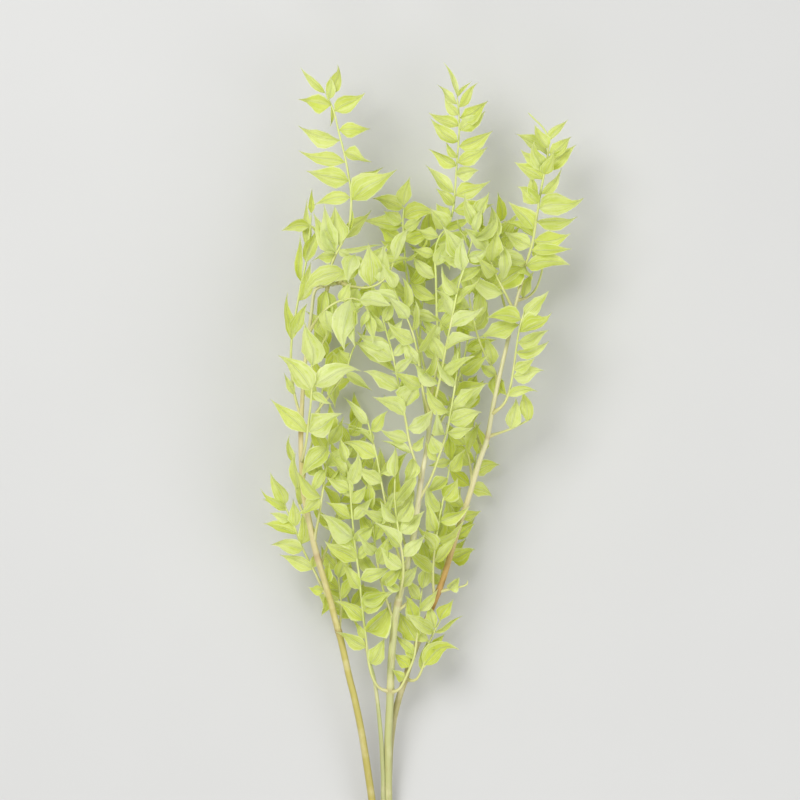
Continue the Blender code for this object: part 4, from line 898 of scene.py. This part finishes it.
def leafShape(leaf, root, own):
    # half width by station along the rib, a little ragged; across, the margins rise by the fold; along,
    # the rib bows, hooks at its tip and sweeps sideways; the blade turns about the rib; its edge waves
    along, wide = np.array(leafDetails["outline"]).T
    inner = along[1:-1]
    fold = own.uniform(*leafDetails["fold"])
    hook, sweep = own.uniform(*leafDetails["hook"]), own.uniform(-1, 1) * leafDetails["sweep"]
    waves, phase = own.uniform(-1, 1) * leafDetails["wave"], own.uniform(*leafDetails["wavePhases"])
    lean = stray(own, leafDetails["lean"])
    length, half = leaf["length"], leafDetails["wider"] * leaf["width"] / 2
    ahead, facing = leaf["ahead"], leaf["facing"]
    across = np.cross(ahead, facing)
    rise = 4 * leaf["bow"] * along * (1 - along) + hook * (along ** 3 - along)
    aside = 4 * leaf["bend"] * along * (1 - along) + sweep * np.sin(2 * math.pi * along)
    rib = root + length * (along[:, None] * ahead + rise[:, None] * facing + aside[:, None] * across)
    slope = unit(np.gradient(rib, axis=0))
    turn = (leaf["twist"] * along)[:, None]
    side = unit(across - (slope @ across)[:, None] * slope)
    normal = np.cross(side, slope)
    side, normal = np.cos(turn) * side + np.sin(turn) * normal, np.cos(turn) * normal - np.sin(turn) * side
    columns, rear = np.array(leafDetails["columns"]), np.array(leafDetails["rear"])
    ragged = own.normal(0, leafDetails["ragged"], (len(inner), 2))[:, (columns > 0).astype(int)]
    reach = half * wide[1:-1, None] * (columns * (1 + ragged) + lean * (1 - columns ** 2))
    lift = half * wide[1:-1, None] * (
        fold * np.abs(columns) ** leafDetails["foldPower"]
        + waves * np.sin(leafDetails["waveTurns"] * inner[:, None] + phase + columns) * columns ** 2)
    thin = leafDetails["thickness"] * np.sqrt(np.maximum(1 - columns ** 2, 0.0)) * (0.5 - rear)
    rings = rib[1:-1, None] + reach[..., None] * side[1:-1, None]
    rings = rings + (lift + thin)[..., None] * normal[1:-1, None]
    points = np.vstack([rings.reshape(-1, 3), rib[:1], rib[-1:]])
    quads, fans = ringFaces(len(inner), len(columns))
    uvs = np.stack(np.broadcast_arrays((columns[None] + 1) / 2, inner[:, None]), axis=-1).reshape(-1, 2)
    uvs = np.vstack([uvs, [[0.5, 0], [0.5, 1]]])
    margin = np.concatenate([np.tile(np.abs(columns) == 1, len(inner)), [True, True]])
    # painted light: the tone is partly random and partly by height, paler on leaves nearer the front as if
    # lit, darker deeper in as if shaded
    front = np.clip((rib[:, 2].mean() - leafDetails["behind"]) / leafDetails["depth"], 0, 1)
    depthLightShare = leafDetails["paintedDepthLight"]
    tone = own.uniform(0, 1) * (1 - depthLightShare) + depthLightShare * front
    return points, [*quads.tolist(), *fans.tolist()], uvs, np.full(len(points), tone), margin


for seed, (name, (path, leaves)) in enumerate(grown.items()):
    own = np.random.default_rng(leafDetails["firstSeed"] + seed)
    points, faces, uvs, tones, scar = stalkShape(sprays[name], path)
    newPiece(name + "_stalk", points, faces, uvs, {"tone": tones, "scar": scar}, stalkSkin, name)
    shapes = [leafShape(leaf, path["fine"][leaf["at"]], own) for leaf in leaves]
    points, faces, uvs, tones, margin = joinShapes(shapes)
    newPiece(name + "_leaves", points, faces, uvs, {"tone": tones}, leafSkin, name, sharp=margin)
print("sprays made")


# floor, light and camera
studio = {
    "floorSize": 6.0, "floorColours": ((0.58, 0.58, 0.57), (0.56, 0.56, 0.55)), "floorGrain": 6.0,
    "floorRoughness": 0.7, "airLight": 0.43, "lit": (0, 0, 0.05),
    "cameraHeight": 8.0, "sensor": 36.0, "side": 800, "sees": 50,
    "lights": {  # place, size and power
        "key": ((-1.1, 1.2, 2.4), 1.6, 59), "fill": ((1.6, -0.6, 1.9), 1.8, 24),
        "foot": ((-0.2, -2.0, 1.4), 1.4, 13)},
}
finish = Finish("paleFloor")
pale = finish.mix(finish.clouds(studio["floorGrain"]), *studio["floorColours"])
finish.fill(finish.shader, {"Base Color": pale, "Roughness": studio["floorRoughness"]})
half = studio["floorSize"] / 2
floorMesh = bpy.data.meshes.new("floor")
corners = [(-half, -half, 0), (half, -half, 0), (half, half, 0), (-half, half, 0)]
floorMesh.from_pydata(corners, [], [(0, 1, 2, 3)])
floorMesh.materials.append(finish.material)
shown("floor", floorMesh)

for name, (place, size, power) in studio["lights"].items():
    light = bpy.data.lights.new(name, "AREA")
    light.energy, light.size = power, size
    lamp = shown(name, light)
    lamp.location = place
    towards = unit(np.array(studio["lit"]) - np.array(place))
    lamp.rotation_euler = (math.acos(-towards[2]), 0, math.atan2(towards[1], towards[0]) - math.pi / 2)

world = bpy.data.worlds.new("studioAir")
bpy.context.scene.world = world
world.use_nodes = True
air = world.node_tree.nodes["Background"].inputs
air["Color"].default_value = (1, 1, 1, 1)
air["Strength"].default_value = studio["airLight"]

# looks straight down; its frame is the photograph's, at the depth of the middle of the bunch
camera = bpy.data.cameras.new("camera")
middle = inMetres([(studio["side"] / 2, studio["side"] / 2, 0)])[0] + shift
camera.sensor_width = studio["sensor"]
camera.lens = studio["sensor"] * studio["cameraHeight"] / (studio["side"] * pixel)
camera.clip_end = studio["sees"]
viewer = shown("camera", camera)
viewer.location = (middle[0], middle[1], middle[2] + studio["cameraHeight"])
bpy.context.scene.camera = viewer
bpy.context.scene.view_settings.view_transform = "Standard"
